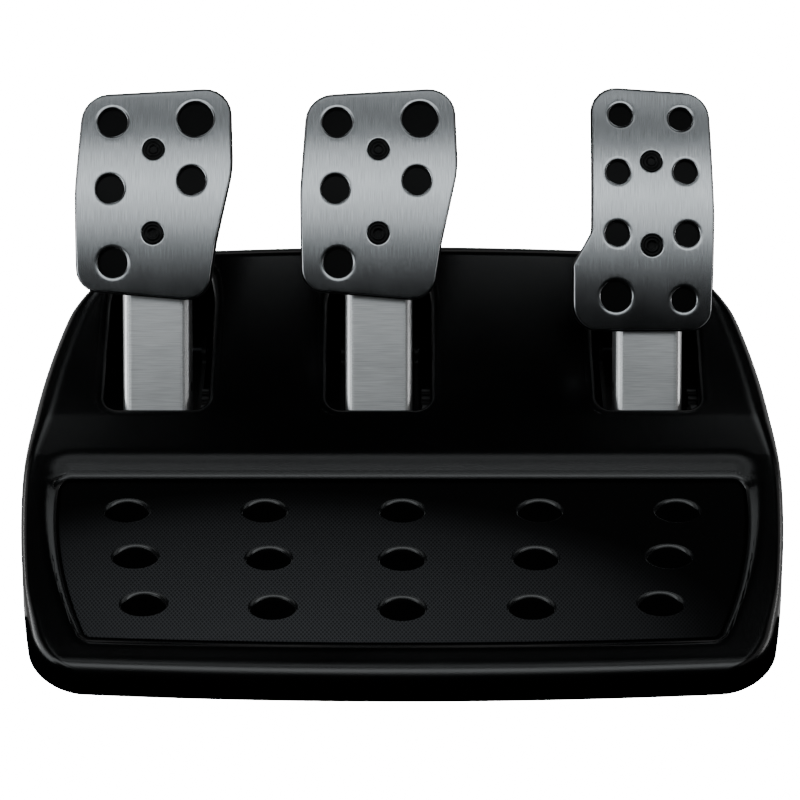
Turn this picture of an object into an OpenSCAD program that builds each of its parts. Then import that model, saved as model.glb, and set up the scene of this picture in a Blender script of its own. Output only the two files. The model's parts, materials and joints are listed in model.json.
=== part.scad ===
// Three-pedal floor unit for driving games. A moulded housing closes over a base plate, and
// three sprung pedals swing on axles that are carried in steel brackets inside it.
// Units are millimetres: +X is to the driver's right, +Y to the rear and +Z up. The origin is on
// the floor at the middle of the housing. Lengths called "from the front" start at the housing's
// front edge.

/* [Housing] */
// Width of the housing at its widest
base_w = 442; // [420:1:460]
// Depth of the housing from front edge to rear edge
base_d = 294; // [265:1:320]
// Thickness of the moulded walls
wall = 3; // [2:0.25:3.5]
// Height of the front lip above the floor
lip_h = 23.3; // [22.5:0.1:27]
// Radius that rolls the front lip over
lip_r = 12; // [8:0.5:14]
// Rise of the rim beside the heel mat, in degrees
rim_slope = 7.9; // [7:0.1:8.5]
// Distance from the rear edge to the back of the rim
ledge_from_rear = 151; // [147:1:155]
// Distance from the rear edge to the crease where the hump starts
crease_from_rear = 121; // [120:1:125]
// Height of the hump at its rear crest
hump_h = 70; // [66:1:72]
// Length over which the hump rolls down to the rear wall
hump_back = 14; // [10:1:18]
// Height that the rear roll takes off the hump
rear_drop = 16; // [12:1:20]
// Distance from the rear edge to the widest point
widest_from_rear = 141; // [129:1:154]
// Radius of the sides in front of the widest point
side_front_r = 541; // [480:1:700]
// Radius of the sides behind the widest point
side_rear_r = 333; // [312:1:420]
// Radius of the front corners in plan
front_corner_r = 28; // [24:1:40]
// Radius of the rear corners in plan
rear_corner_r = 48; // [36:1:54]
// How far the middle of the front edge stands ahead of its ends
front_bow = 4.4; // [2:0.1:7]
// How far the middle of the rear edge stands behind its ends
rear_bow = 7.2; // [3:0.1:9]
// Lean of the side walls, bottom to top
side_draft = 3; // [1:0.5:4]
// Radius along the top of the side walls at the front lip
edge_r = 9; // [6:0.5:10]

/* [Heel rest] */
// Distance from the housing's widest point in to the rear corners of the heel mat
mat_rear_side = 25; // [23:0.5:30]
// Distance from the housing's widest point in to the front corners of the heel mat
mat_front_side = 48.5; // [44:0.5:58]
// Distance from the front to the middle of the mat's front edge
mat_front_y = 24; // [23:0.5:27]
// Distance from the housing's rear edge to the mat's rear edge
mat_from_rear = 165; // [163:1:169]
// How far the front corners of the mat sit back from its middle
mat_bow = 3.5; // [0:0.5:5]
// Radius of the mat's corners
mat_corner_r = 7; // [5:1:14]
// Thickness of the mat
mat_t = 2.5; // [2:0.25:3]
// Depth of the mat's face under the rim at the front
dish_front = 3; // [2:0.25:3.5]
// Depth of the mat's face under the rim at the rear
dish_rear = 7; // [6:0.25:7.5]
// Slope of the banks round the mat, in degrees
bank_angle = 27; // [25:1:40]
// Length of a dimple in the mat
dimple_l = 26.4; // [20:0.2:30]
// Width of a dimple in the mat
dimple_w = 15.5; // [10:0.5:18]
// Depth of a dimple in the mat
dimple_depth = 1.4; // [0.8:0.1:1.6]
// Distance from the mat's rear edge to the rear row of dimples
dimple_rear = 15.7; // [13:0.1:19]
// Distance from the mat's front edge to the front row of dimples
dimple_front = 25.6; // [20:0.1:30]
// Distance from the mat's sides to the end dimples of a row
dimple_side = 35.5; // [30:0.5:42]

/* [Slots] */
// Width of the slot round each pedal arm
slot_w = 61; // [58:0.5:64]
// Distance from the housing's rear edge to the front lip of the slots
slot_front_from_rear = 118; // [118:0.5:119]
// Distance from the housing's rear edge to the rear end of the slots
slot_end_from_rear = 25; // [23:1:27]
// Width of the slot at its rear end
slot_rear_w = 54; // [46:0.5:58]
// Distance from the housing's rear edge to where the slots start to narrow
slot_taper_from_rear = 42; // [38:1:54]
// Radius of the slot corners
slot_r = 9; // [5:0.5:14]
// Depth of the moulded skirt round each slot
skirt_depth = 7; // [5:0.5:8]
// Thickness of that skirt
skirt_t = 2.5; // [2:0.25:3]

/* [Pedals] */
// Distance of the clutch pedal from the housing's left side at its widest
clutch_side = 76.5; // [70:0.5:82]
// Place of the brake pedal across the unit
brake_x = -13.8; // [-22:0.1:-2]
// Distance of the throttle pedal from the housing's right side at its widest
throttle_side = 76.3; // [72:0.1:82]
// Distance from the housing's rear edge to the pedal axles
pivot_from_rear = 127; // [126:0.25:127.5]
// Height of the pedal axles above the floor
pivot_z = 19; // [18.5:0.25:20]
// Lean of the arms above the floor at rest, in degrees
arm_angle = 43; // [42:0.25:44]
// Distance along the arm from axle to the middle of the brake and clutch plates
wide_plate_t = 149.5; // [146:0.5:154]
// Distance along the arm from axle to the middle of the throttle plate
throttle_plate_t = 142.5; // [140:0.5:146]

/* [Arms] */
// Width of the arm channel
arm_w = 39.5; // [37:0.5:40]
// Sheet thickness of the arm channel
arm_t = 2.5; // [2:0.25:3]
// Radius of the arm's front edges
arm_edge_r = 5.5; // [4:0.5:7]
// Distance from the axle to the arm's front face
arm_front_n = 10; // [9:0.5:10.5]
// Depth of the channel behind the axle
arm_back_n = 9; // [8:0.5:9.5]
// Depth of the channel behind the axle line at its upper end
arm_tip_n = 1; // [0:0.5:3]
// Length of the arm above the middle of its plate
arm_over = 33; // [30:1:34]

/* [Pedal plates] */
// Radius of the curved plate faces
plate_r = 320; // [300:5:360]
// Thickness of the metal plates
plate_t = 2; // [1.5:0.25:2.5]
// Thickness of the backing pads
pad_t = 3; // [2:0.25:3.5]
// Height of the plate face above the axle line where it is square to the arm
plate_n = 22; // [21:0.25:23]
// Distance of that square point below the middle of the plate
plate_low = 30; // [26:1:32]
// How far the backing pad stands out past the plate's edge
pad_over = 0.8; // [0.2:0.1:1.2]
// Width of the saddle between pad and arm
saddle_w = 28; // [24:1:30]
// Distance between the two plate screws
screw_pitch = 49.4; // [46:0.2:52]
// Radius of the plate screws' sunk heads at the plate's face
sunk_r = 6.5; // [6:0.1:7]
// Radius of the plate screws' shanks
plate_screw_r = 2; // [1.75:0.05:2.5]
// Width of the bevel round each hole
hole_bevel = 0.9; // [0.5:0.1:1.1]
// Depth of the round recess that the pad has under each hole
pad_recess = 1.2; // [0.8:0.1:1.5]

/* [Pivots and brackets] */
// Radius of the pedal axles
axle_r = 5; // [4:0.25:5.5]
// Running clearance of shafts and pins, on radius
run_gap = 0.05; // [0.02:0.01:0.09]
// Assembly clearance between fixed pieces, on radius
fit_gap = 0.03; // [0.02:0.01:0.08]
// Outer radius of the flanged bushes
bush_r = 7; // [6.5:0.25:7.5]
// Radius of the bush flanges
bush_flange_r = 9; // [8.5:0.25:9.5]
// Gap between arm and bracket ear on each side
ear_gap = 1.5; // [1.2:0.1:1.8]
// Sheet thickness of the brackets
bracket_t = 2.5; // [2:0.25:3]
// Distance from the housing's rear edge to the rear spring pin
spring_from_rear = 45; // [43:0.5:46]
// Height of the rear spring pin
spring_z = 16; // [15:0.25:17]
// Distance along the arm from axle to the upper spring pin
spring_t = 36; // [35:0.25:37]
// Depth of the upper spring pin behind the axle line
spring_n = 3; // [2:0.25:4]
// Radius of the spring pins
pin_r = 3; // [2.5:0.25:3.25]
// Clearance of the upper eye on its pin
eye_gap = 0.5; // [0.4:0.05:0.7]

/* [Springs] */
// Mean radius of the return springs
coil_r = 9.4; // [9.2:0.1:9.8]
// Radius of the spring wire
wire_r = 1.2; // [0.8:0.1:1.4]
// Number of turns
coil_turns = 7; // [5:1:8]
// Radius of the spring seats
seat_r = 12; // [11.5:0.25:12.5]
// Distance from each eye's centre to the face of its seat
seat_s = 13; // [12:0.5:14]
// Outer radius of the guide sleeve
sleeve_r = 6.8; // [6.4:0.1:7]
// Radius of the guide rod
rod_r = 4; // [3.5:0.25:4.5]

/* [Sensor gears] */
// Module of the gear teeth
gear_m = 1; // [0.95:0.01:1.02]
// Teeth on a full circle of the sector gear
sector_teeth = 48; // [46:2:48]
// Teeth on the sensor gear
pinion_teeth = 12; // [11:1:12]
// Direction from axle to sensor, in degrees above the floor
sensor_angle = 20; // [18:1:22]
// Width of the gear teeth
gear_w = 4; // [3:0.25:4.5]
// Thinning of each tooth for backlash
backlash = 0.16; // [0.1:0.01:0.25]
// Radius of the sensor shaft
sensor_shaft_r = 2.5; // [2:0.25:3]

/* [Base] */
// Height of the rubber feet
foot_h = 2; // [1:0.25:2.5]
// Thickness of the base plate
base_t = 3; // [2.5:0.25:3.5]
// Radius of the housing's screw bosses
boss_r = 5; // [4:0.25:6]
// Radius of the housing and bracket screws
screw_r = 1.75; // [1.5:0.05:2]
// Radius of the hole in each threaded mounting insert
insert_hole_r = 2.6; // [2.4:0.05:3]
// Outer radius of the threaded mounting inserts
insert_r = 4.5; // [4:0.25:5]
// Spacing of the mounting inserts across the unit
mount_w = 190; // [180:1:200]
// Spacing of the mounting inserts along the unit
mount_l = 90; // [80:1:95]
// Distance from the mat's rear edge to the middle of the mounting inserts
mount_in = 40.8; // [36:0.2:46]
// Radius of the cable hole in the gland
gland_hole_r = 3; // [2.5:0.25:3.5]

/* [Hidden] */
$fn = 48;
// Segments in a rounded corner, and in the sections of the housing
corner_steps = 6;
edge_steps = 5;
hull_overlap = 0.02;

PEDALS = ["clutch", "brake", "throttle"];
PEDAL_PIECES = ["arm", "axle", "bushes", "bracket", "sector_gear", "sensor", "sensor_gear",
    "spring", "spring_rod", "spring_sleeve", "upper_pin", "lower_pin", "rest_bumper",
    "face_plate", "backing_pad", "plate_screws"];
BASE_PIECES = ["upper_housing", "base_plate", "heel_mat", "rubber_feet", "housing_screws",
    "bracket_screws", "sensor_screws", "mount_inserts", "cable_gland", "brake_rubber_block"];

side_x = base_w / 2;
pedal_x = [clutch_side - side_x, brake_x, side_x - throttle_side];
plate_mid = [wide_plate_t, wide_plate_t, throttle_plate_t];

// Colours
black_plastic = "#141416";
black_rubber = "#1c1c1e";
dark_steel = "#5b6064";
steel = "#b9bdc0";
nylon = "#d8d6cc";
brass = "#b89a50";

// Small shared functions
function from_front(y) = y - base_d / 2;
function at(r, a) = [r * cos(a), r * sin(a)];
function unit(v) = v / norm(v);
function side_of(a, b) = a[0] * b[1] - a[1] * b[0];
function arc(c, r, a0, a1, n = corner_steps) = [for (k = [0 : n]) c + at(r, a0 + (a1 - a0) * k / n)];
// Outline through the given corners, each rounded with its own radius
function rounded(corners, radii) = [for (i = [0 : len(corners) - 1])
    let (n = len(corners), p = corners[i], r = radii[i],
        u = unit(corners[(i + n - 1) % n] - p), v = unit(corners[(i + 1) % n] - p),
        half = acos(u * v) / 2, c = p + unit(u + v) * r / sin(half),
        a0 = atan2(-unit(u + v)[1], -unit(u + v)[0]), spread = 90 - half,
        turn = side_of(u, v) < 0 ? 1 : -1)
    each (r == 0 ? [p] : [for (k = [0 : corner_steps])
        c + at(r, a0 + turn * spread * (2 * k / corner_steps - 1))])];

// Places along the depth, counted from the front
ledge_y = base_d - ledge_from_rear;
crease_y = base_d - crease_from_rear;
widest_y = base_d - widest_from_rear;
mat_rear_y = base_d - mat_from_rear;
slot_front_y = base_d - slot_front_from_rear;
slot_rear_y = base_d - slot_end_from_rear;
slot_taper_y = base_d - slot_taper_from_rear;
pivot_y = base_d - pivot_from_rear;
spring_y = base_d - spring_from_rear;

// Housing surface
hump_y = base_d - hump_back;
rim_rise = tan(rim_slope);
ledge_z = lip_h + (ledge_y - lip_r) * rim_rise;
ledge_rise = tan(4.5);
crease_z = ledge_z + (crease_y - ledge_y) * ledge_rise;
hump_rise = tan(7);
hump_l = hump_y - crease_y;
hump_curve = (hump_h - crease_z - hump_rise * hump_l) / pow(hump_l, 2);
// Height of the housing's top along its middle
function top_z(y) =
    y < lip_r ? lip_h - lip_r + sqrt(max(0, pow(lip_r, 2) - pow(lip_r - y, 2))) :
    y < ledge_y ? lip_h + (y - lip_r) * rim_rise :
    y < crease_y ? ledge_z + (y - ledge_y) * ledge_rise :
    y < hump_y ? crease_z + (y - crease_y) * hump_rise + pow(y - crease_y, 2) * hump_curve :
    hump_h - rear_drop * (1 - sqrt(max(0, 1 - pow((y - hump_y) / hump_back, 2))));
// Half of the housing's width
function arc_drop(r, d) = r - sqrt(max(0, r * r - d * d));
function half_w(y) = base_w / 2
    - (y < widest_y ? arc_drop(side_front_r, widest_y - y) : arc_drop(side_rear_r, y - widest_y))
    - (y < front_corner_r ? arc_drop(front_corner_r, front_corner_r - y) : 0)
    - (y > base_d - rear_corner_r ? arc_drop(rear_corner_r, y - base_d + rear_corner_r) : 0);
function bow(y) = front_bow * (1 - y / base_d) - rear_bow * y / base_d;

// Stations from front to rear where the housing's sections are placed
stations = concat(
    [for (k = [0 : 5]) lip_r * (1 - cos(18 * k))],
    [for (k = [1 : 8]) lip_r + (ledge_y - lip_r) * pow(k / 8, 1.5)],
    [for (k = [1 : 2]) ledge_y + (crease_y - ledge_y) * k / 2],
    [for (k = [1 : 8]) crease_y + (hump_y - crease_y) * k / 8],
    [for (k = [1 : 5]) hump_y + hump_back * sin(18 * k)]);
// One section, half of it mirrored to make the whole
function half_section(w, h, foot) =
    let (r = min(edge_r + max(0, h - lip_h) * 0.25, (h - foot) * 0.6), top = w - side_draft - r)
    concat([for (k = [0 : 3]) [w * k / 3, foot]], [[w - side_draft * 0.5, foot + (h - r - foot) * 0.5]],
        arc([top, h - r], r, 0, 90, edge_steps), [for (k = [2 : -1 : 0]) [top * k / 3, h]]);
function section(w, h, foot) = let (half = half_section(w, h, foot), n = len(half))
    concat(half, [for (k = [n - 2 : -1 : 1]) [-half[k][0], half[k][1]]]);

// The housing's outer form, taken in by inset all round and reaching down to foot
module housing_form(inset, foot) {
    rows = [for (s = stations) let (y = inset + s * (base_d - 2 * inset) / base_d, w = half_w(y) - inset)
        [for (p = section(w, top_z(y) - inset, foot))
            [p[0], from_front(y + bow(y) * pow(p[0] / w, 2)), p[1]]]];
    m = len(rows);
    n = len(rows[0]);
    skin = [for (i = [0 : m - 2]) for (j = [0 : n - 1]) let (a = i * n + j, b = i * n + (j + 1) % n)
        each [[a, b, b + n], [a, b + n, a + n]]];
    // A cap is made of upright strips from bottom to top, so it follows the bow of the edge
    peak = n / 2;
    right = concat([for (k = [0 : 2]) each [[k, k + 1, peak - k - 1], [k, peak - k - 1, peak - k]]],
        [for (j = [4 : peak - 4]) [3, j, j + 1]]);
    left = [for (f = right) [for (k = [2 : -1 : 0]) (n - f[k]) % n]];
    rear_cap = [for (f = concat(right, left)) f + [1, 1, 1] * (m - 1) * n];
    front_cap = [for (f = concat(right, left)) [f[2], f[1], f[0]]];
    polyhedron([for (r = rows) each r], concat(skin, front_cap, rear_cap), convexity = 6);
}

// Heel rest: the mat lies on a plane that is a little flatter than the rim
mat_rear_half = side_x - mat_rear_side;
mat_front_half = side_x - mat_front_side;
mat_front_z = lip_h + (mat_front_y - lip_r) * rim_rise - dish_front;
mat_rear_z = lip_h + (mat_rear_y - lip_r) * rim_rise - dish_rear;
mat_slope = atan2(mat_rear_z - mat_front_z, mat_rear_y - mat_front_y);
function mat_z(y) = mat_front_z + (y - mat_front_y) * tan(mat_slope);
function rim_z(y) = lip_h + (y - lip_r) * rim_rise;
bow_steps = 8;
// Flat margin between the mat and the foot of its banks
mat_ledge = 0.6;
// Outline of the mat in plan, let out by grow, with a bowed front edge
function mat_outline(grow) =
    let (rear = mat_rear_y + grow, front = mat_front_y - grow, r = mat_corner_r + max(0, grow),
        edge = [for (k = [1 : bow_steps - 1]) let (s = 2 * k / bow_steps - 1)
            [mat_front_half * s, front + mat_bow * s * s]])
    rounded(concat([[mat_rear_half + grow, rear], [-mat_rear_half - grow, rear],
            [-mat_front_half - grow, front + mat_bow]], edge, [[mat_front_half + grow, front + mat_bow]]),
        concat([r, r, r], [for (p = edge) 0], [r]));
// Solid between the mat's outline let out by g0 at depth d0 and by g1 at the rim plus d1
module dish(g0, d0, d1) {
    low = mat_outline(g0);
    n = len(low);
    ring0 = [for (p = low) [p[0], from_front(p[1]), mat_z(p[1]) - d0]];
    ring1 = [for (p = low) let (depth = rim_z(p[1]) + d1 - mat_z(p[1]), run = depth / tan(bank_angle),
            out = bank_out(p, run))
        [out[0], from_front(out[1]), rim_z(out[1]) + d1]];
    sides = [for (j = [0 : n - 1]) let (k = (j + 1) % n) each [[j, n + k, k], [j, n + j, n + k]]];
    polyhedron(concat(ring0, ring1), concat([for (j = [1 : n - 2]) [0, j, j + 1]], sides,
        [for (j = [1 : n - 2]) [n, n + j + 1, n + j]]), convexity = 4);
}
// A point of the mat's outline moved outwards, away from the middle line of the mat
mat_core = mat_front_half - 2 * mat_corner_r;
function bank_out(p, run) = let (mid = (mat_front_y + mat_rear_y) / 2,
        core = [max(-mat_core, min(mat_core, p[0])), p[1] > mid ? mat_rear_y - 2 * mat_corner_r :
            mat_front_y + mat_bow + 2 * mat_corner_r],
        d = p - core, axis = abs(d[0]) < 1 ? [0, sign(d[1])] : unit(d))
    p + axis * run;

module mat_prism(grow, bottom, top) {
    translate([0, from_front(mat_front_y), mat_front_z]) rotate([mat_slope, 0, 0]) translate([0, 0, bottom])
        linear_extrude(top - bottom) polygon([for (p = mat_outline(grow))
            [p[0], (p[1] - mat_front_y) / cos(mat_slope)]]);
}

// Slots for the pedal arms
function slot_outline(grow) = let (x = slot_w / 2 + grow, x1 = slot_rear_w / 2 + grow, y0 = slot_front_y - grow,
        y1 = slot_rear_y + grow, r = slot_r + grow)
    rounded([for (c = [[x, y0], [x, slot_taper_y], [x1, y1], [-x1, y1], [-x, slot_taper_y], [-x, y0]])
        [c[0], from_front(c[1])]], [r, 40, r, r, 40, r]);
module slot_prism(i, grow) {
    translate([pedal_x[i], 0, 0]) linear_extrude(2 * hump_h) polygon(slot_outline(grow));
}

// Places on the base, measured from the middle line and from the front
plate_top = foot_h + base_t;
foot_r = 11;
function pair(x, y) = [[-x, y], [x, y]];
housing_screw_xy = concat([[0, mat_front_y + 2 * boss_r]],
    pair(mat_front_half - 4.5 * boss_r, mat_front_y + 3 * boss_r),
    pair(mat_rear_half + 2 * boss_r, ledge_y - 1.2 * boss_r),
    [for (i = [0, 1]) [(pedal_x[i] + pedal_x[i + 1]) / 2, slot_rear_y]]);
foot_xy = concat(pair(mat_front_half + foot_r / 2, mat_front_y + 1.4 * foot_r),
    pair(mat_rear_half - foot_r / 2, slot_front_y + 2.6 * foot_r), pair(mount_w / 3, base_d / 2));
mount_mid_y = mat_rear_y - mount_in;
insert_xy = [for (x = [-1, 1]) for (y = [-1, 1]) [x * mount_w / 2, mount_mid_y + y * mount_l / 2]];
insert_h = 8;
insert_wall = 2.5;
gland_xy = [0, base_d];
gland_z = 17;
gland_r = gland_hole_r + 2.5;
gland_flange_r = gland_r + 2;
module on_base(list, z) { for (p = list) translate([p[0], from_front(p[1]), z]) children(); }

// Height of the underside of the housing over a point of the base
function ceiling_z(p) = p[1] < mat_rear_y ? mat_z(p[1]) - mat_t : top_z(p[1]) - wall / 2;

module upper_housing() {
    color(black_plastic) difference() {
        union() {
            difference() {
                housing_form(0, foot_h);
                difference() {
                    housing_form(wall, foot_h - 1);
                    dish(wall, mat_t + wall, 0);
                }
            }
            // Skirts that stiffen the slots, cut back in front where the arms lean past them
            difference() {
                intersection() {
                    for (i = [0 : 2]) slot_prism(i, skirt_t);
                    housing_form(wall / 2, foot_h);
                }
                translate([0, 0, -skirt_depth]) housing_form(0, foot_h);
            }
            // Screw bosses that stand on the base plate
            for (p = housing_screw_xy) translate([p[0], from_front(p[1]), plate_top])
                cylinder(r = boss_r, h = ceiling_z(p) - plate_top - wall / 2);
        }
        dish(mat_ledge, 0, 2);
        mat_prism(fit_gap, -mat_t, 1);
        for (i = [0 : 2]) {
            slot_prism(i, 0);
            arm_room(i);
        }
        on_base(housing_screw_xy, 0) cylinder(r = screw_r + fit_gap, h = plate_top + boss_depth);
        translate([gland_xy[0], from_front(gland_xy[1]), gland_z]) rotate([90, 0, 0])
            cylinder(r = gland_r + fit_gap, h = 40, center = true);
    }
}
boss_depth = 7;
// Space that an arm at rest needs under the front lip of its slot
arm_clear = 1.2;
module arm_room(i) {
    on_arm(i) across(-slot_w / 2, slot_w / 2) polygon([[0, -arm_back_n], [2 * arm_w, -arm_back_n],
        [2 * arm_w, arm_front_n + arm_clear], [0, arm_front_n + arm_clear]]);
}

// The base plate keeps this far off the inside of the housing's wall, where the wall leans in most
plate_gap = 0.5;
plate_in = wall + side_draft / 2 + plate_gap;
edge_parts = 6;
// One end of the plate: a bowed edge from the middle to the right-hand corner
function plate_end(y) = [for (k = [0 : edge_parts - 1]) let (s = k / edge_parts)
    [s * (half_w(y) - plate_in), from_front(y + bow(y) * s * s)]];
function reversed(list) = [for (k = [len(list) - 1 : -1 : 0]) list[k]];
plate_right = concat(plate_end(plate_in),
    [for (s = stations) let (y = plate_in + s * (base_d - 2 * plate_in) / base_d)
        [half_w(y) - plate_in, from_front(y + bow(y))]],
    reversed(plate_end(base_d - plate_in)));
plate_outline = concat(plate_right,
    [for (k = [len(plate_right) - 2 : -1 : 1]) [-plate_right[k][0], plate_right[k][1]]]);
module base_plate() {
    color(black_plastic) difference() {
        union() {
            translate([0, 0, foot_h]) linear_extrude(base_t) polygon(plate_outline);
            on_base(insert_xy, foot_h) cylinder(r = insert_r + insert_wall, h = insert_h);
        }
        on_base(insert_xy, 0) cylinder(r = insert_r + fit_gap, h = foot_h + insert_h + 1);
        on_base(housing_screw_xy, 0) cylinder(r = screw_r + 0.2, h = 2 * plate_top);
        on_base(housing_screw_xy, 0) cylinder(r = head_r + 0.3, h = foot_h + head_h);
        for (i = [0 : 2]) on_base(bracket_screw_xy(i), 0) cylinder(r = screw_r + fit_gap, h = 2 * plate_top);
        for (i = [0 : 2]) on_base(sensor_screw_xy(i), 0) cylinder(r = screw_r + 0.2, h = 2 * plate_top);
        for (i = [0 : 2]) on_base(sensor_screw_xy(i), 0) cylinder(r = head_r + 0.3, h = foot_h + head_h);
    }
}

// Rows of dimples, counted from the rear, fan out with the mat's sides and bow with its front edge
dimple_rows = 3;
dimple_side_n = 2;
dimple_pitch = (mat_rear_y - mat_front_y - dimple_rear - dimple_front) / (dimple_rows - 1);
function mat_half(y) = mat_front_half
    + (mat_rear_half - mat_front_half) * (y - mat_front_y) / (mat_rear_y - mat_front_y);
function dimple_xy(r, c) = let (y = mat_rear_y - dimple_rear - r * dimple_pitch, s = c / dimple_side_n)
    [s * (mat_half(y) - dimple_side), y + 0.4 * mat_bow * r * s * s];
module heel_mat() {
    color(black_rubber) difference() {
        mat_prism(-fit_gap, -mat_t + fit_gap, 0);
        translate([0, from_front(mat_front_y), mat_front_z]) rotate([mat_slope, 0, 0])
            for (r = [0 : dimple_rows - 1]) for (c = [-dimple_side_n : dimple_side_n])
                translate([dimple_xy(r, c)[0], (dimple_xy(r, c)[1] - mat_front_y) / cos(mat_slope), -dimple_depth])
                    linear_extrude(mat_t) polygon([for (a = [0 : 15 : 345])
                        [dimple_l / 2 * cos(a), dimple_w / 2 * sin(a)]]);
    }
}

module rubber_feet() {
    color(black_rubber) {
        on_base(foot_xy, 0) cylinder(r = foot_r, h = foot_h);
        cylinder(r = 2 * foot_r, h = foot_h);
    }
}

// A screw seen from its head: the head lies under the origin and the shank runs up
head_r = 1.83 * screw_r;
head_h = 0.9 * screw_r;
module screw(length, socket = 1.5) {
    difference() {
        union() {
            translate([0, 0, -head_h]) cylinder(r = head_r, h = head_h);
            cylinder(r = screw_r, h = length);
        }
        translate([0, 0, -2 * head_h]) cylinder(r = socket, h = 1.5 * head_h, $fn = 6);
    }
}
module housing_screws() {
    color(dark_steel) on_base(housing_screw_xy, foot_h + head_h) screw(base_t - head_h + boss_depth - 1);
}
module mount_inserts() {
    color(brass) on_base(insert_xy, foot_h) difference() {
        cylinder(r = insert_r, h = insert_h);
        translate([0, 0, -1]) cylinder(r = insert_hole_r, h = insert_h + 2);
    }
}
module cable_gland() {
    color(black_rubber) translate([gland_xy[0], from_front(gland_xy[1]), gland_z]) rotate([90, 0, 0])
        difference() {
            union() {
                translate([0, 0, -gland_out]) cylinder(r = gland_flange_r, h = gland_out - gland_seat);
                translate([0, 0, -gland_out]) cylinder(r = gland_r, h = gland_out + wall + 4);
            }
            translate([0, 0, -20]) cylinder(r = gland_hole_r, h = 60);
        }
}
gland_seat = 0.4;
gland_out = 3;

// Pedal frame: Y runs up the arm from the axle and Z stands out of its front face
module at_pivot(i) {
    translate([pedal_x[i], from_front(pivot_y), pivot_z]) children();
}
module on_arm(i) { at_pivot(i) rotate([arm_angle, 0, 0]) children(); }
// Turns a flat profile of the pedal's side view into a slab across the unit
module across(x0, x1) {
    translate([x0, 0, 0]) rotate([90, 0, 90]) linear_extrude(x1 - x0) children();
}
module shaft(r, x0, x1) { translate([x0, 0, 0]) rotate([0, 90, 0]) cylinder(r = r, h = x1 - x0); }

ear_x = arm_w / 2 + ear_gap;
upper_pin_at = [spring_t, -spring_n];
plate_screw_at = [[0, screw_pitch / 2], [0, -screw_pitch / 2]];

module pedal_arm(i) {
    tip = plate_mid[i] + arm_over;
    side = concat(arc([0, 0], arm_front_n, 90, 180), arc([0, 0], arm_back_n, 180, 270),
        [[spring_t + 12, -arm_back_n], [tip, -arm_tip_n], [tip, arm_front_n]]);
    half = arm_w / 2;
    outer = rounded([[half, arm_front_n], [-half, arm_front_n], [-half, -2 * half], [half, -2 * half]],
        [arm_edge_r, arm_edge_r, 0, 0]);
    inner = rounded([[half - arm_t, arm_front_n - arm_t], [arm_t - half, arm_front_n - arm_t],
        [arm_t - half, -3 * half], [half - arm_t, -3 * half]], [arm_edge_r - arm_t, arm_edge_r - arm_t, 0, 0]);
    color(steel) on_arm(i) difference() {
        intersection() {
            across(-half, half) polygon(side);
            translate([0, -2 * arm_front_n, 0]) rotate([90, 0, 0]) mirror([0, 0, 1])
                linear_extrude(2 * tip) difference() { polygon(outer); polygon(inner); }
        }
        shaft(axle_r + fit_gap, -arm_w, arm_w);
        translate([0, upper_pin_at[0], upper_pin_at[1]]) shaft(pin_r + fit_gap, -arm_w, arm_w);
        for (p = plate_screw_at) on_plate(i, p) translate([0, 0, -3 * plate_n])
            cylinder(r = plate_screw_r + fit_gap, h = 4 * plate_n);
    }
}

axle_head = 2.5;
axle_left = -(ear_x + bracket_t + 0.4);
gear_x = ear_x + bracket_t + 2;
module pedal_axle(i) {
    color(dark_steel) on_arm(i) {
        shaft(axle_r, axle_left, gear_x + gear_w + 1);
        shaft(axle_r + 3, axle_left - axle_head, axle_left);
    }
}

module pedal_bushes(i) {
    flange = ear_gap - 0.3;
    color(nylon) at_pivot(i) for (s = [0, 1]) mirror([s, 0, 0]) difference() {
        union() {
            shaft(bush_r, ear_x, ear_x + bracket_t);
            shaft(bush_flange_r, ear_x - flange, ear_x);
        }
        shaft(axle_r + run_gap, 0, 2 * ear_x);
    }
}

// Bracket: a floor plate, two ears and a cross plate that carries the rest bumper
cross_t0 = 2;
cross_t1 = 12;
bumper_t = 2;
bumper_n = arm_front_n + 0.3;
cross_n = bumper_n + bumper_t;
bracket_rear = spring_y - pivot_y + 2 * bracket_t + 5 * screw_r / 1.75;
function arm_to_yz(p) = [p[0] * cos(arm_angle) - p[1] * sin(arm_angle),
    p[0] * sin(arm_angle) + p[1] * cos(arm_angle)];
pin_yz = [spring_y - pivot_y, spring_z - pivot_z];
floor_z = plate_top - pivot_z;
bracket_front = floor_z - foot_h;
ear_land = 4;
pin_land = 9;
screw_in = 6;
module bracket_ear() {
    ear_top = bush_r + ear_land;
    polygon(rounded([[bracket_front, floor_z], [bracket_front, 2], arm_to_yz([cross_t0 - 1, cross_n + bracket_t + 1]),
            arm_to_yz([cross_t1 + 1, cross_n + bracket_t + 1]), [ear_top + 1, ear_top],
            [ear_top + 2 * ear_land, 0], [pin_yz[0] - pin_land - ear_land, 0],
            [pin_yz[0] - pin_land, pin_yz[1] + pin_land],
            [pin_yz[0] + 2 * ear_land, pin_yz[1] + pin_land],
            [bracket_rear, floor_z]], [0, 3, 2, 2, 3, 4, 3, 4, 5, 0]));
}
bracket_half = ear_x + bracket_t + 2 * head_r;
function bracket_screw_xy(i) = [for (s = [-1, 1]) for (y = [bracket_front + screw_in, bracket_rear - 2 * ear_land])
    [pedal_x[i] + s * (ear_x + screw_in), pivot_y + y]];
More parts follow.
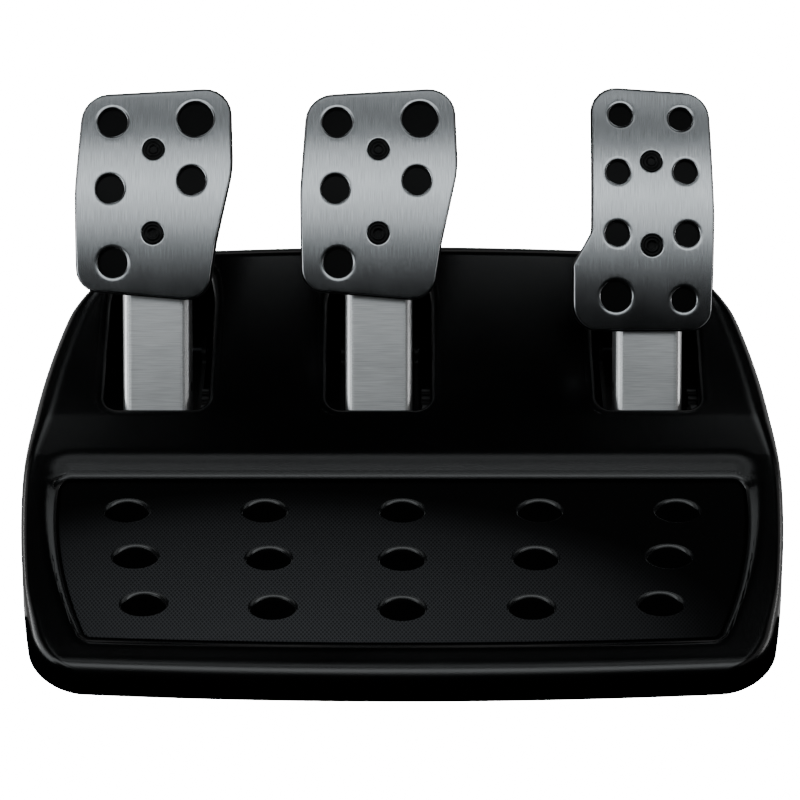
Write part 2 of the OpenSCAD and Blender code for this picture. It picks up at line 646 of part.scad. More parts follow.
module pedal_bracket(i) {
    color(dark_steel) difference() {
        at_pivot(i) difference() {
            union() {
                for (s = [0, 1]) mirror([s, 0, 0]) across(ear_x, ear_x + bracket_t) bracket_ear();
                translate([-bracket_half, bracket_front, floor_z])
                    cube([2 * bracket_half, bracket_rear - bracket_front, bracket_t]);
                rotate([arm_angle, 0, 0]) translate([-ear_x - bracket_t / 2, cross_t0, cross_n])
                    cube([2 * ear_x + bracket_t, cross_t1 - cross_t0, bracket_t]);
            }
            shaft(bush_r + fit_gap, -2 * ear_x, 2 * ear_x);
            translate([0, pin_yz[0], pin_yz[1]]) shaft(pin_r + fit_gap, -2 * ear_x, 2 * ear_x);
        }
        on_base(bracket_screw_xy(i), 0) cylinder(r = screw_r + 0.2, h = 2 * plate_top);
    }
}
module bracket_screws() {
    color(dark_steel) for (i = [0 : 2]) on_base(bracket_screw_xy(i), plate_top + bracket_t)
        mirror([0, 0, 1]) screw(bracket_t + base_t);
}
module rest_bumper(i) {
    color(black_rubber) on_arm(i) translate([-10, cross_t0 + 1, bumper_n])
        cube([20, cross_t1 - cross_t0 - 2, bumper_t]);
}

// Gears: involute teeth at a pressure angle of 20 degrees
function inv_angle(a) = tan(a) * 180 / PI - a;
function pitch_r(teeth) = gear_m * teeth / 2;
function root_r(teeth) = pitch_r(teeth) - 1.25 * gear_m;
function tooth_half(teeth, r) = let (p = pitch_r(teeth), b = p * cos(20))
    90 / teeth - backlash / 2 / p * 180 / PI + inv_angle(20) - inv_angle(acos(min(1, b / r)));
function tooth(teeth, mid) = let (r0 = root_r(teeth), b = pitch_r(teeth) * cos(20), tip = pitch_r(teeth) + gear_m,
        start = max(r0, b), rs = [for (k = [0 : 5]) start + (tip - start) * k / 5],
        rise = concat(r0 < b ? [at(r0, mid - tooth_half(teeth, b))] : [],
            [for (r = rs) at(r, mid - tooth_half(teeth, r))]))
    concat(rise, [for (k = [len(rs) - 1 : -1 : 0]) at(rs[k], mid + tooth_half(teeth, rs[k]))],
        r0 < b ? [at(r0, mid + tooth_half(teeth, b))] : []);
gear_dist = pitch_r(sector_teeth) + pitch_r(pinion_teeth);
sector_step = 360 / sector_teeth;
sector_up = 4;
sector_down = 1;
module sector_gear(i) {
    hub = axle_r + 4;
    teeth = [for (k = [-sector_down : sector_up]) each tooth(sector_teeth, sensor_angle + k * sector_step)];
    a0 = sensor_angle - (sector_down + 0.5) * sector_step;
    a1 = sensor_angle + (sector_up + 0.5) * sector_step;
    color(nylon) at_pivot(i) difference() {
        union() {
            across(gear_x, gear_x + gear_w) polygon(concat([at(hub * 0.9, a0 - 30)],
                [at(root_r(sector_teeth), a0)], teeth, [at(root_r(sector_teeth), a1)], [at(hub * 0.9, a1 + 30)]));
            shaft(hub, gear_x, gear_x + gear_w);
        }
        shaft(axle_r + fit_gap, 0, 4 * ear_x);
    }
}
module at_sensor(i) {
    at_pivot(i) translate([0, gear_dist * cos(sensor_angle), gear_dist * sin(sensor_angle)]) children();
}
sensor_x = gear_x + gear_w + 1.5;
sensor_w = 12;
module sensor_gear(i) {
    first = sensor_angle + 180 + 180 / pinion_teeth;
    color(nylon) at_sensor(i) {
        across(gear_x - 0.5, gear_x + gear_w + 0.5) polygon([for (k = [0 : pinion_teeth - 1])
            each tooth(pinion_teeth, first + k * 360 / pinion_teeth)]);
        shaft(sensor_shaft_r, gear_x, sensor_x + sensor_w - 3);
    }
}
// Sensor: a potentiometer case with a round head on a foot
sensor_half = 8;
sensor_drop = plate_top - pivot_z - gear_dist * sin(sensor_angle);
function sensor_screw_xy(i) = [[pedal_x[i] + sensor_x + sensor_w / 2, pivot_y + gear_dist * cos(sensor_angle)]];
module pedal_sensor(i) {
    color("#20242a") difference() {
        at_sensor(i) difference() {
            across(sensor_x, sensor_x + sensor_w)
                polygon(concat(arc([0, 0], sensor_half - 1, 0, 180), [[-sensor_half, sensor_drop + 5],
                    [-sensor_half, sensor_drop], [sensor_half, sensor_drop], [sensor_half, sensor_drop + 5]]));
            shaft(sensor_shaft_r + run_gap, 0, sensor_x + sensor_w - 2.5);
        }
        on_base(sensor_screw_xy(i), 0) cylinder(r = screw_r + fit_gap, h = plate_top + 8);
    }
}
module sensor_screws() {
    color(dark_steel) for (i = [0 : 2]) on_base(sensor_screw_xy(i), foot_h + head_h) screw(base_t + 5);
}

// Spring strut: the rod swings on the rear pin and the sleeve hangs on the arm's pin
upper_yz = arm_to_yz(upper_pin_at);
strut_v = upper_yz - pin_yz;
strut_l = norm(strut_v);
strut_turn = atan2(-strut_v[0], strut_v[1]);
eye_r = pin_r + 3.2;
eye_w = 12;
sleeve_l = 28;
rod_l = strut_l - 18.5;
module on_strut(i) {
    at_pivot(i) translate([0, pin_yz[0], pin_yz[1]]) rotate([strut_turn, 0, 0]) children();
}
module spring_rod(i) {
    color(black_plastic) on_strut(i) difference() {
        union() {
            shaft(eye_r, -eye_w / 2, eye_w / 2);
            cylinder(r = rod_r, h = rod_l);
            translate([0, 0, 4]) cylinder(r = eye_w / 2, h = seat_s - 4);
            translate([0, 0, seat_s - 2.5]) cylinder(r = seat_r, h = 2.5);
        }
        shaft(pin_r + run_gap, -eye_w, eye_w);
    }
}
module spring_sleeve(i) {
    color(black_plastic) on_strut(i) translate([0, 0, strut_l]) mirror([0, 0, 1]) difference() {
        union() {
            shaft(eye_r + eye_gap, -eye_w / 2, eye_w / 2);
            translate([0, 0, 4]) cylinder(r = sleeve_r, h = sleeve_l - 4);
            translate([0, 0, seat_s - 2.5]) cylinder(r = seat_r, h = 2.5);
        }
        shaft(pin_r + eye_gap, -eye_w, eye_w);
        translate([0, 0, bore_s]) cylinder(r = rod_r + 0.2, h = sleeve_l);
    }
}
bore_s = 9;
module upper_pin(i) {
    color(dark_steel) on_arm(i) translate([0, upper_pin_at[0], upper_pin_at[1]])
        shaft(pin_r, -arm_w / 2, arm_w / 2);
}
module lower_pin(i) {
    color(dark_steel) at_pivot(i) translate([0, pin_yz[0], pin_yz[1]])
        shaft(pin_r, -ear_x - bracket_t - 0.5, ear_x + bracket_t + 0.5);
}

// Return spring: one round wire along a helix whose end turns close up on the seats
coil_rings = 8;
wire_sides = 6;
spring_gap = 0.3;
coil_l = strut_l - 2 * seat_s - 2 * (wire_r + spring_gap);
dead_turn = 0.8;
dead_pitch = 2 * wire_r + 0.6;
function coil_z(u) = let (free = coil_l - 2 * dead_turn * dead_pitch, live = coil_turns - 2 * dead_turn)
    u < dead_turn ? u * dead_pitch :
    u > coil_turns - dead_turn ? coil_l - (coil_turns - u) * dead_pitch :
    dead_turn * dead_pitch + (u - dead_turn) * free / live;
module pedal_spring(i) {
    m = coil_turns * coil_rings;
    rings = [for (k = [0 : m]) let (u = k / coil_rings, a = 360 * u)
        [for (j = [0 : wire_sides - 1]) let (b = 360 * j / wire_sides, r = coil_r + wire_r * cos(b))
            [r * cos(a), r * sin(a), coil_z(u) + wire_r * sin(b)]]];
    n = wire_sides;
    skin = [for (k = [0 : m - 1]) for (j = [0 : n - 1]) let (a = k * n + j, b = k * n + (j + 1) % n)
        each [[a, b, b + n], [a, b + n, a + n]]];
    caps = concat([for (j = [1 : n - 2]) [0, j + 1, j]], [for (j = [1 : n - 2]) [m * n, m * n + j, m * n + j + 1]]);
    color(steel) on_strut(i) translate([0, 0, seat_s + wire_r + spring_gap])
        polyhedron([for (r = rings) each r], concat(skin, caps), convexity = 10);
}
coil_step_gap = min([for (k = [0 : coil_turns * coil_rings - coil_rings])
    coil_z(k / coil_rings + 1) - coil_z(k / coil_rings)]) - 2 * wire_r;
echo(least_gap_between_turns = coil_step_gap);

// Rubber block that stiffens the end of the brake's travel
rubber_l = 9;
module brake_rubber_block() {
    color("#7a2f24") on_strut(1) difference() {
        translate([0, 0, seat_s]) cylinder(r = coil_r - wire_r - 0.6, h = rubber_l);
        cylinder(r = rod_r + fit_gap, h = strut_l);
    }
}

// Plates: outlines are laid along the curved face, with the middle between the screws as origin.
// Each hole is [across, up, radius].
wide_corners = [[45.5, 12], [43.5, 60.8], [-41, 55.8], [-44.8, 0], [-44, -57], [31, -63.4], [36, -30]];
wide_radii = [60, 15, 16, 120, 13, 14, 60];
wide_holes = [[-24.1, 41.1, 8.9], [24.1, 43.1, 10.7], [-24.9, 1.3, 8.5], [22.3, 6.3, 8.5], [-23.3, -41.7, 8.8]];
throttle_corners = [[35.7, -5], [33.5, 64], [-33.7, 69], [-34.4, -16], [-45.3, -35.5], [-45, -73.5], [34.5, -73.5]];
throttle_radii = [140, 15, 14, 8, 6, 15, 12];
throttle_holes = [[-17.4, 53.1, 7.1], [17.5, 50.4, 7.1], [-19.4, 18.5, 7.1], [19.6, 18.5, 7.1],
    [-20.1, -17.8, 7.3], [20.5, -18.3, 7.3], [-20.6, -54, 9.3], [18.7, -56, 7.4]];
function plate_corners(i) = i == 2 ? throttle_corners : wide_corners;
function plate_radii(i) = i == 2 ? throttle_radii : wide_radii;
function plate_holes(i) = i == 2 ? throttle_holes : wide_holes;
// Outline with every corner moved in towards the middle
function shrink(p, inset) = [p[0] - sign(p[0]) * inset, p[1] - sign(p[1]) * inset];
module plate_prism(i, inset) {
    translate([0, plate_mid[i], -arm_front_n]) linear_extrude(4 * plate_n)
        polygon(rounded([for (p = plate_corners(i)) shrink(p, inset)], [for (r = plate_radii(i)) max(2, r - inset)]));
}
// Frame of the plate's curve: its axis lies across the unit, behind the arm
module at_curve(i) { translate([0, plate_mid[i] - plate_low, plate_n - plate_r]) children(); }
module curved_sheet(i, r0, r1) {
    at_curve(i) difference() {
        shaft(r1, -arm_w * 2, arm_w * 2, $fn = 200);
        shaft(r0, -arm_w * 3, arm_w * 3, $fn = 200);
    }
}
// Children stand on the curve at a place given across and up the plate, pointing outwards
module on_plate(i, p) {
    at_curve(i) rotate([-(p[1] + plate_low) / plate_r * 180 / PI, 0, 0]) translate([p[0], 0, plate_r]) children();
}
module hole(r) {
    translate([0, 0, -plate_t * 3]) cylinder(r = r, h = plate_t * 6);
    translate([0, 0, -hole_bevel]) cylinder(r1 = r, r2 = r + 2 * hole_bevel, h = 2 * hole_bevel);
}
// Cone under a sunk screw head, let out by grow and reaching sink below the face
module sunk_cone(grow, sink) {
    translate([0, 0, -plate_t]) cylinder(r1 = sunk_r - plate_t + grow, r2 = sunk_r - sink + grow, h = plate_t - sink);
}
module face_plate(i) {
    color(steel) on_arm(i) difference() {
        intersection() {
            plate_prism(i, 0);
            curved_sheet(i, plate_r - plate_t, plate_r);
        }
        for (h = plate_holes(i)) on_plate(i, h) hole(h[2]);
        for (p = plate_screw_at) on_plate(i, p) {
            sunk_cone(fit_gap, 0);
            translate([0, 0, -3 * plate_t]) cylinder(r = sunk_r - plate_t + fit_gap, h = 3 * plate_t);
            cylinder(r = sunk_r + fit_gap, h = plate_t);
        }
    }
}
recess_step = 0.4;
pad_face = plate_r - plate_t - fit_gap;
module backing_pad(i) {
    color(black_plastic) on_arm(i) difference() {
        union() {
            intersection() {
                plate_prism(i, -pad_over);
                curved_sheet(i, pad_face - pad_t, pad_face);
            }
            // Saddle that carries the curved pad on the flat face of the arm
            intersection() {
                translate([-saddle_w / 2, plate_mid[i] - 36, arm_front_n])
                    cube([saddle_w, 36 + arm_over - 1, plate_n]);
                at_curve(i) shaft(pad_face - pad_t / 2, -saddle_w, saddle_w, $fn = 200);
            }
        }
        for (h = plate_holes(i)) on_plate(i, h) translate([0, 0, -plate_t - pad_recess])
            cylinder(r = h[2] - recess_step, h = plate_t + pad_recess + 1);
        for (p = plate_screw_at) on_plate(i, p) translate([0, 0, -2 * plate_n])
            cylinder(r = plate_screw_r + 0.2, h = 3 * plate_n);
    }
}
// Sunk socket screws that clamp plate and pad to the arm
head_sink = 0.3;
module plate_screws(i) {
    shank = plate_n - arm_front_n + arm_t + 4;
    color("#101012") on_arm(i) for (p = plate_screw_at) on_plate(i, p) difference() {
        union() {
            sunk_cone(-fit_gap, head_sink);
            translate([0, 0, -shank]) cylinder(r = plate_screw_r, h = shank - plate_t + 0.5);
        }
        translate([0, 0, -1.2]) cylinder(r = 2.2, h = plate_t, $fn = 6);
    }
}

upper_housing();
base_plate();
heel_mat();
rubber_feet();
housing_screws();
bracket_screws();
sensor_screws();
mount_inserts();
cable_gland();
brake_rubber_block();
for (i = [0 : 2]) {
    pedal_arm(i);
    pedal_axle(i);
    pedal_bushes(i);
    pedal_bracket(i);
    sector_gear(i);
    pedal_sensor(i);
    sensor_gear(i);
    pedal_spring(i);
    spring_rod(i);
    spring_sleeve(i);
    upper_pin(i);
    lower_pin(i);
    rest_bumper(i);
    face_plate(i);
    backing_pad(i);
    plate_screws(i);
}
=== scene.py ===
"""Looks for the three-pedal floor unit: housing skin, heel mat, metal plates, materials, light and camera."""
import json
import math

import bmesh
import bpy
import numpy as np
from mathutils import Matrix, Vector
from mathutils.geometry import delaunay_2d_cdt


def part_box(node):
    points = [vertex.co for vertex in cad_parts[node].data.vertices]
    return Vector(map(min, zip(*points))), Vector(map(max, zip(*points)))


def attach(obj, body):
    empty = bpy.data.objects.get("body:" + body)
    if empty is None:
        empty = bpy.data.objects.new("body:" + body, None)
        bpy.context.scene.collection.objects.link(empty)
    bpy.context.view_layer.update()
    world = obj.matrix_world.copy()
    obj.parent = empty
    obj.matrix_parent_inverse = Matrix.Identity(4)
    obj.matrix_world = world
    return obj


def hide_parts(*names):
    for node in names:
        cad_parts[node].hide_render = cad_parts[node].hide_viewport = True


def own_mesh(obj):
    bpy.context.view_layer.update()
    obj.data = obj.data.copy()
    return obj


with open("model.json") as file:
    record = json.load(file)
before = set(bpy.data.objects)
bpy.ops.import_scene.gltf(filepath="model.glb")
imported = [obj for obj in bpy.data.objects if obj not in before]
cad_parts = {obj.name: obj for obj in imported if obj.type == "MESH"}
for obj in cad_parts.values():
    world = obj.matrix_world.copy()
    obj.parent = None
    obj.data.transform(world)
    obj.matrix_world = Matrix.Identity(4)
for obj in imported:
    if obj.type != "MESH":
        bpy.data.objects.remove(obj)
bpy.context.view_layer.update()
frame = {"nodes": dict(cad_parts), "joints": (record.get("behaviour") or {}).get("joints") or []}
nodes = frame["nodes"]
MM = 0.001

# Sizes of the part in millimetres, with lengths along Y counted from the front edge
BASE_W, BASE_D = 442.0, 294.0
LIP_H, LIP_R, RIM_RISE = 23.3, 12.0, math.tan(math.radians(7.9))
LEDGE_Y, CREASE_Y, HUMP_H, HUMP_BACK, REAR_DROP = 143.0, 173.0, 70.0, 14.0, 16.0
LEDGE_RISE, HUMP_RISE = math.tan(math.radians(4.5)), math.tan(math.radians(7))
WIDEST_Y, SIDE_FRONT_R, SIDE_REAR_R = 153.0, 541.0, 333.0
FRONT_CORNER_R, REAR_CORNER_R, FRONT_BOW, REAR_BOW = 28.0, 48.0, 4.4, 7.2
SIDE_DRAFT, EDGE_R, FOOT_H, SKIN_T = 3.0, 9.0, 2.0, 2.4
MAT_REAR_HALF, MAT_FRONT_HALF, MAT_FRONT_Y, MAT_REAR_Y = 196.0, 172.5, 24.0, 129.0
MAT_BOW, MAT_SIDE_BOW, MAT_CORNER_R, MAT_SHEET_T, DISH_FRONT, DISH_REAR = 3.5, 7.0, 7.0, 1.0, 3.0, 5.5
DIMPLE_L, DIMPLE_W, DIMPLE_REAR, DIMPLE_FRONT, DIMPLE_SIDE = 26.4, 15.5, 20.1, 22.1, 35.5
# Each pedal's place across the base
PEDALS = {"clutch": -144.5, "brake": -13.8, "throttle": 144.7}
PIVOT_Y, PIVOT_Z, ARM_ANGLE = 167.0, 19.0, math.radians(43)
# Middle of each plate, along its arm from the pivot
PLATE_MID = {"clutch": 149.5, "brake": 149.5, "throttle": 142.5}
PLATE_R, PLATE_T, PLATE_N, PLATE_LOW = 320.0, 2.0, 22.0, 30.0


def from_front(y):
    return y - BASE_D / 2


def top_z(y):
    """Height of the housing along its middle line, with the creases eased."""
    y = np.asarray(y, float)
    hump_y = BASE_D - HUMP_BACK
    ledge_z = LIP_H + (LEDGE_Y - LIP_R) * RIM_RISE
    crease_z = ledge_z + (CREASE_Y - LEDGE_Y) * LEDGE_RISE
    run = hump_y - CREASE_Y
    curve = (HUMP_H - crease_z - HUMP_RISE * run) / run ** 2
    lip = LIP_H - LIP_R + np.sqrt(np.clip(LIP_R ** 2 - (LIP_R - y) ** 2, 0, None))
    rim = LIP_H + (y - LIP_R) * RIM_RISE
    ledge = ledge_z + (y - LEDGE_Y) * LEDGE_RISE
    hump = crease_z + (y - CREASE_Y) * HUMP_RISE + (y - CREASE_Y) ** 2 * curve
    roll = HUMP_H - REAR_DROP * (1 - np.sqrt(np.clip(1 - ((y - hump_y) / HUMP_BACK) ** 2, 0, None)))
    return np.select([y < LIP_R, y < LEDGE_Y, y < CREASE_Y, y < hump_y], [lip, rim, ledge, hump], roll)


def arc_drop(r, d):
    """How far a circle falls away at a distance from its highest point."""
    return r - np.sqrt(np.clip(r * r - d * d, 0, None))


def half_w(y):
    """Half width of the base at a station along Y."""
    y = np.asarray(y, float)
    side = np.where(y < WIDEST_Y, arc_drop(SIDE_FRONT_R, WIDEST_Y - y), arc_drop(SIDE_REAR_R, y - WIDEST_Y))
    front = np.where(y < FRONT_CORNER_R, arc_drop(FRONT_CORNER_R, FRONT_CORNER_R - y), 0)
    rear = np.where(y > BASE_D - REAR_CORNER_R, arc_drop(REAR_CORNER_R, y - BASE_D + REAR_CORNER_R), 0)
    return BASE_W / 2 - side - front - rear


def bow(y):
    """How far the base's cross lines bend, from its front edge to its rear edge."""
    return FRONT_BOW * (1 - y / BASE_D) - REAR_BOW * y / BASE_D


def rounded(corners, radii, steps=8):
    """Outline through the corners, each rounded with its own radius."""
    out = []
    n = len(corners)
    pts = [np.array(c, float) for c in corners]
    for i, (p, r) in enumerate(zip(pts, radii)):
        if r == 0:
            out.append(p)
            continue
        u = pts[i - 1] - p
        v = pts[(i + 1) % n] - p
        u /= np.linalg.norm(u)
        v /= np.linalg.norm(v)
        half = math.acos(np.clip(u @ v, -1, 1)) / 2
        mid = (u + v) / np.linalg.norm(u + v)
        c = p + mid * r / math.sin(half)
        a0 = math.atan2(-mid[1], -mid[0])
        turn = 1 if u[0] * v[1] - u[1] * v[0] < 0 else -1
        spread = math.pi / 2 - half
        for k in range(steps + 1):
            a = a0 + turn * spread * (2 * k / steps - 1)
            out.append(c + r * np.array([math.cos(a), math.sin(a)]))
    return np.array(out)


def signed_distance(points, outline):
    """Distance of points from a closed outline, negative inside."""
    best = np.full(len(points), 1e9)
    inside = np.zeros(len(points), bool)
    for a, b in zip(outline, np.roll(outline, -1, axis=0)):
        d = b - a
        t = np.clip(((points - a) @ d) / max(d @ d, 1e-12), 0, 1)
        best = np.minimum(best, np.linalg.norm(points - a - t[:, None] * d, axis=1))
        crosses = (a[1] > points[:, 1]) != (b[1] > points[:, 1])
        dy = d[1] if abs(d[1]) > 1e-12 else 1e-12
        inside ^= crosses & (points[:, 0] < a[0] + (points[:, 1] - a[1]) / dy * d[0])
    return np.where(inside, -best, best)


def inset_loop(loop, d):
    """Closed counter-clockwise loop moved inwards by d."""
    ahead = np.roll(loop, -1, axis=0) - loop
    behind = loop - np.roll(loop, 1, axis=0)
    ahead /= np.linalg.norm(ahead, axis=1)[:, None] + 1e-12
    behind /= np.linalg.norm(behind, axis=1)[:, None] + 1e-12
    t = ahead + behind
    t /= np.linalg.norm(t, axis=1)[:, None] + 1e-12
    return loop + d * np.stack([-t[:, 1], t[:, 0]], axis=1)


def resample(loop, step):
    """Closed loop with points about one step apart, corners kept."""
    out = []
    for a, b in zip(loop, np.roll(loop, -1, axis=0)):
        k = max(1, int(round(np.linalg.norm(b - a) / step)))
        out += [a + (b - a) * i / k for i in range(k)]
    return np.array(out)


def full_turn(n):
    """Angles of n points round a circle."""
    return np.linspace(0, 2 * math.pi, n + 1)[:-1]


def bridge(rings, n, first=0):
    """Faces between neighbouring closed rings of n points each."""
    faces = []
    for k in range(rings - 1):
        for j in range(n):
            a, b = first + k * n + j, first + k * n + (j + 1) % n
            faces.append((a, b, b + n, a + n))
    return faces


def mesh_object(name, verts_mm, faces, uvs=None, smooth_angle=40.0):
    """New object from points in millimetres, smooth except over sharp edges."""
    mesh = bpy.data.meshes.new(name)
    verts = [tuple(float(c) * MM for c in v) for v in verts_mm]
    mesh.from_pydata(verts, [], [tuple(int(k) for k in f) for f in faces])
    if uvs is not None:
        layer = mesh.uv_layers.new(name="face")
        flat = np.array([uvs[loop.vertex_index] for loop in mesh.loops], float).ravel()
        layer.data.foreach_set("uv", flat)
    mesh.validate()
    mesh.polygons.foreach_set("use_smooth", [True] * len(mesh.polygons))
    mesh.set_sharp_from_angle(angle=math.radians(smooth_angle))
    obj = bpy.data.objects.new(name, mesh)
    bpy.context.scene.collection.objects.link(obj)
    return obj


def oriented(obj, towards, smooth_angle=50.0):
    """Joins touching points, drops loose ones and turns the faces towards one side."""
    bm = bmesh.new()
    bm.from_mesh(obj.data)
    bmesh.ops.remove_doubles(bm, verts=bm.verts, dist=2e-6)
    bmesh.ops.delete(bm, geom=[v for v in bm.verts if not v.link_faces], context="VERTS")
    bmesh.ops.recalc_face_normals(bm, faces=bm.faces)
    bm.to_mesh(obj.data)
    bm.free()
    if sum(p.normal.dot(towards) * p.area for p in obj.data.polygons) < 0:
        obj.data.flip_normals()
    obj.data.polygons.foreach_set("use_smooth", [True] * len(obj.data.polygons))
    obj.data.set_sharp_from_angle(angle=math.radians(smooth_angle))
    return obj


UP = Vector((0, 0, 1))


# Housing skin
def mat_half(f):
    """Half width of the mat between its front, 0, and its rear, 1, without the swell of its sides."""
    return MAT_FRONT_HALF + (MAT_REAR_HALF - MAT_FRONT_HALF) * f


def mat_swell(f):
    """How far the mat's sides swell beyond straight lines."""
    return MAT_SIDE_BOW * 4 * f * (1 - f)


def mat_outline(grow=0.0):
    front = MAT_FRONT_Y - grow
    rear = MAT_REAR_Y + grow
    r = MAT_CORNER_R + max(0.0, grow)
    edge = [(MAT_FRONT_HALF * s, front + MAT_BOW * s * s) for s in np.linspace(-1, 1, 17)[1:-1]]
    side = [(mat_half(f) + mat_swell(f) + grow, front + (rear - front) * f + MAT_BOW * (1 - f))
            for f in np.linspace(0.16, 0.84, 9)]
    corners = [(MAT_REAR_HALF + grow, rear), (-MAT_REAR_HALF - grow, rear), *[(-x, y) for x, y in side[::-1]],
               (-MAT_FRONT_HALF - grow, front + MAT_BOW), *edge, (MAT_FRONT_HALF + grow, front + MAT_BOW), *side]
    flat = [0] * len(side)
    return rounded(corners, [r, r, *flat, r, *[0] * len(edge), r, *flat])


MAT_FRONT_Z = LIP_H + (MAT_FRONT_Y - LIP_R) * RIM_RISE - DISH_FRONT
MAT_REAR_Z = LIP_H + (MAT_REAR_Y - LIP_R) * RIM_RISE - DISH_REAR
MAT_RISE = (MAT_REAR_Z - MAT_FRONT_Z) / (MAT_REAR_Y - MAT_FRONT_Y)


def mat_z(y):
    return MAT_FRONT_Z + (np.asarray(y, float) - MAT_FRONT_Y) * MAT_RISE


SLOT_FRONT_Y, SLOT_REAR_Y, SLOT_TAPER_Y, SLOT_W, SLOT_REAR_W = 176.0, 269.0, 252.0, 61.0, 54.0
SLOT_R, SLOT_TAPER_R = 9.0, 40.0


def slot_outline():
    x, x1 = SLOT_W / 2, SLOT_REAR_W / 2
    corners = [(x, SLOT_FRONT_Y), (x, SLOT_TAPER_Y), (x1, SLOT_REAR_Y), (-x1, SLOT_REAR_Y), (-x, SLOT_TAPER_Y),
               (-x, SLOT_FRONT_Y)]
    return rounded(corners, [SLOT_R, SLOT_TAPER_R, SLOT_R, SLOT_R, SLOT_TAPER_R, SLOT_R])


def smooth_min(a, b, k):
    """The lower of two heights, blended where they are less than k apart."""
    h = np.clip(0.5 + 0.5 * (b - a) / k, 0, 1)
    return b * (1 - h) + a * h - k * h * (1 - h)


def eased(y, y0, y1):
    """Goes from 0 at y0 to 1 at y1 without a kink."""
    s = np.clip((y - y0) / (y1 - y0), 0, 1)
    return s * s * (3 - 2 * s)


# The sides' rounding grows with height up to a share of it, and is tighter between these stretches along Y
EDGE_GROWTH, EDGE_MOST, EDGE_TIGHT = 0.25, 0.6, 0.5
TIGHTENS, WIDENS = (16, 60), (125, 185)


def edge_radius(y, h):
    """Rounding along the top of the sides, tighter beside the mat than at the lip and the hump."""
    r = np.minimum(EDGE_R + np.clip(h - LIP_H, 0, None) * EDGE_GROWTH, (h - FOOT_H) * EDGE_MOST)
    return r * (1 - EDGE_TIGHT * eased(y, *TIGHTENS) * (1 - eased(y, *WIDENS)))


def surface_z(x, y):
    """Height of the top skin at a point in plan, without the dish."""
    w = half_w(y)
    h = top_z(y)
    r = edge_radius(y, h)
    over = np.clip((np.abs(x) - (w - SIDE_DRAFT - r)), 0, r)
    return h - (r - np.sqrt(np.clip(r * r - over * over, 0, None)))


def unbow(x, y):
    """Station along Y of a point in plan, with the bow of the edges taken off."""
    s = np.asarray(y, float)
    for _ in range(4):
        s = y - bow(s) * np.clip(x / half_w(s), -1, 1) ** 2
    return s


# How far the skin stops short of the slots and of the mat, and the lowest point that a slot cuts
LIP_CLEAR, FRAME_CLEAR, SLOT_LOW = 3.2, 1.6, 36.0
# The bank round the mat: blend with the skin, steps up from the mat, slopes in degrees, where the side's slope turns
# into the rear's, before and behind the mat's rear edge, and how far out and how far under the lip it reaches
BANK_EASE, SIDE_STEP, REAR_STEP, SIDE_BANK, REAR_BANK = 1.6, 0.4, 1.3, 32.0, 24.5
TURN_BEFORE, TURN_BEHIND, BANK_REACH, BANK_UNDER = 8.0, 4.0, 40.0, 8.0


def bank_z(y, d):
    """Height of the bank at a distance outside the mat's edge, steeper beside the mat than behind it."""
    behind = eased(y, MAT_REAR_Y - TURN_BEFORE, MAT_REAR_Y + TURN_BEHIND)
    foot = mat_z(np.clip(y, MAT_FRONT_Y, MAT_REAR_Y)) + SIDE_STEP + (REAR_STEP - SIDE_STEP) * behind
    slope = math.tan(math.radians(SIDE_BANK))
    slope += (math.tan(math.radians(REAR_BANK)) - slope) * behind
    return foot + np.clip(d, 0, None) * slope


HOUSING_ROWS, HOUSING_COLUMNS, ROLL_STEPS, WALL_STEPS, EDGE_STEPS = 165, 231, 9, 5, 10


def build_housing():
    hump_y = BASE_D - HUMP_BACK
    ang = np.linspace(0, math.pi / 2, ROLL_STEPS)
    stations = np.concatenate([LIP_R * (1 - np.cos(ang)), np.linspace(LIP_R, hump_y, HOUSING_ROWS)[1:],
                               hump_y + HUMP_BACK * np.sin(ang)[1:]])
    across = np.linspace(-1, 1, HOUSING_COLUMNS)
    rows = []
    for y in stations:
        w = float(half_w(y))
        h = float(top_z(y))
        r = float(edge_radius(y, h))
        top = w - SIDE_DRAFT - r
        wall = [(w - SIDE_DRAFT * f, FOOT_H + (h - r - FOOT_H) * f) for f in np.linspace(0, 1, WALL_STEPS)]
        arc = [(top + r * math.cos(a), h - r + r * math.sin(a)) for a in np.linspace(0, math.pi / 2, EDGE_STEPS)[1:]]
        right = wall + arc
        line = [(-x, z) for x, z in right] + [(top * s, h) for s in across[1:-1]] + right[::-1]
        rows.append([(x, y + bow(y) * (x / w) ** 2, z) for x, z in line])
    n = len(rows[0])
    # The front and rear walls drop straight from the first and last rows
    front = [(x, y, FOOT_H) for x, y, z in rows[0]]
    rear = [(x, y, FOOT_H) for x, y, z in rows[-1]]
    pts = np.array([front, *rows, rear], float).reshape(-1, 3)
    plan = pts[:, :2]
    d = signed_distance(plan, mat_outline(0.0))
    near = (d < BANK_REACH) & (pts[:, 2] > LIP_H - BANK_UNDER)
    pts[:, 2] = np.where(near, smooth_min(pts[:, 2], bank_z(plan[:, 1], d), BANK_EASE), pts[:, 2])
    drop = d < FRAME_CLEAR
    for x in PEDALS.values():
        drop |= (signed_distance(plan - [x, 0], slot_outline()) < LIP_CLEAR) & (pts[:, 2] > SLOT_LOW)
    m = len(rows) + 2
    faces = []
    for i in range(m - 1):
        for j in range(n - 1):
            a, b = i * n + j, i * n + j + 1
            if not (drop[a] or drop[b] or drop[a + n] or drop[b + n]):
                faces.append((a, b, b + n, a + n))
    pts[:, 1] = from_front(pts[:, 1])
    obj = oriented(mesh_object("housing_skin", pts, faces), UP)
    thick = obj.modifiers.new("wall", "SOLIDIFY")
    thick.thickness = SKIN_T * MM
    thick.offset = -1
    return obj


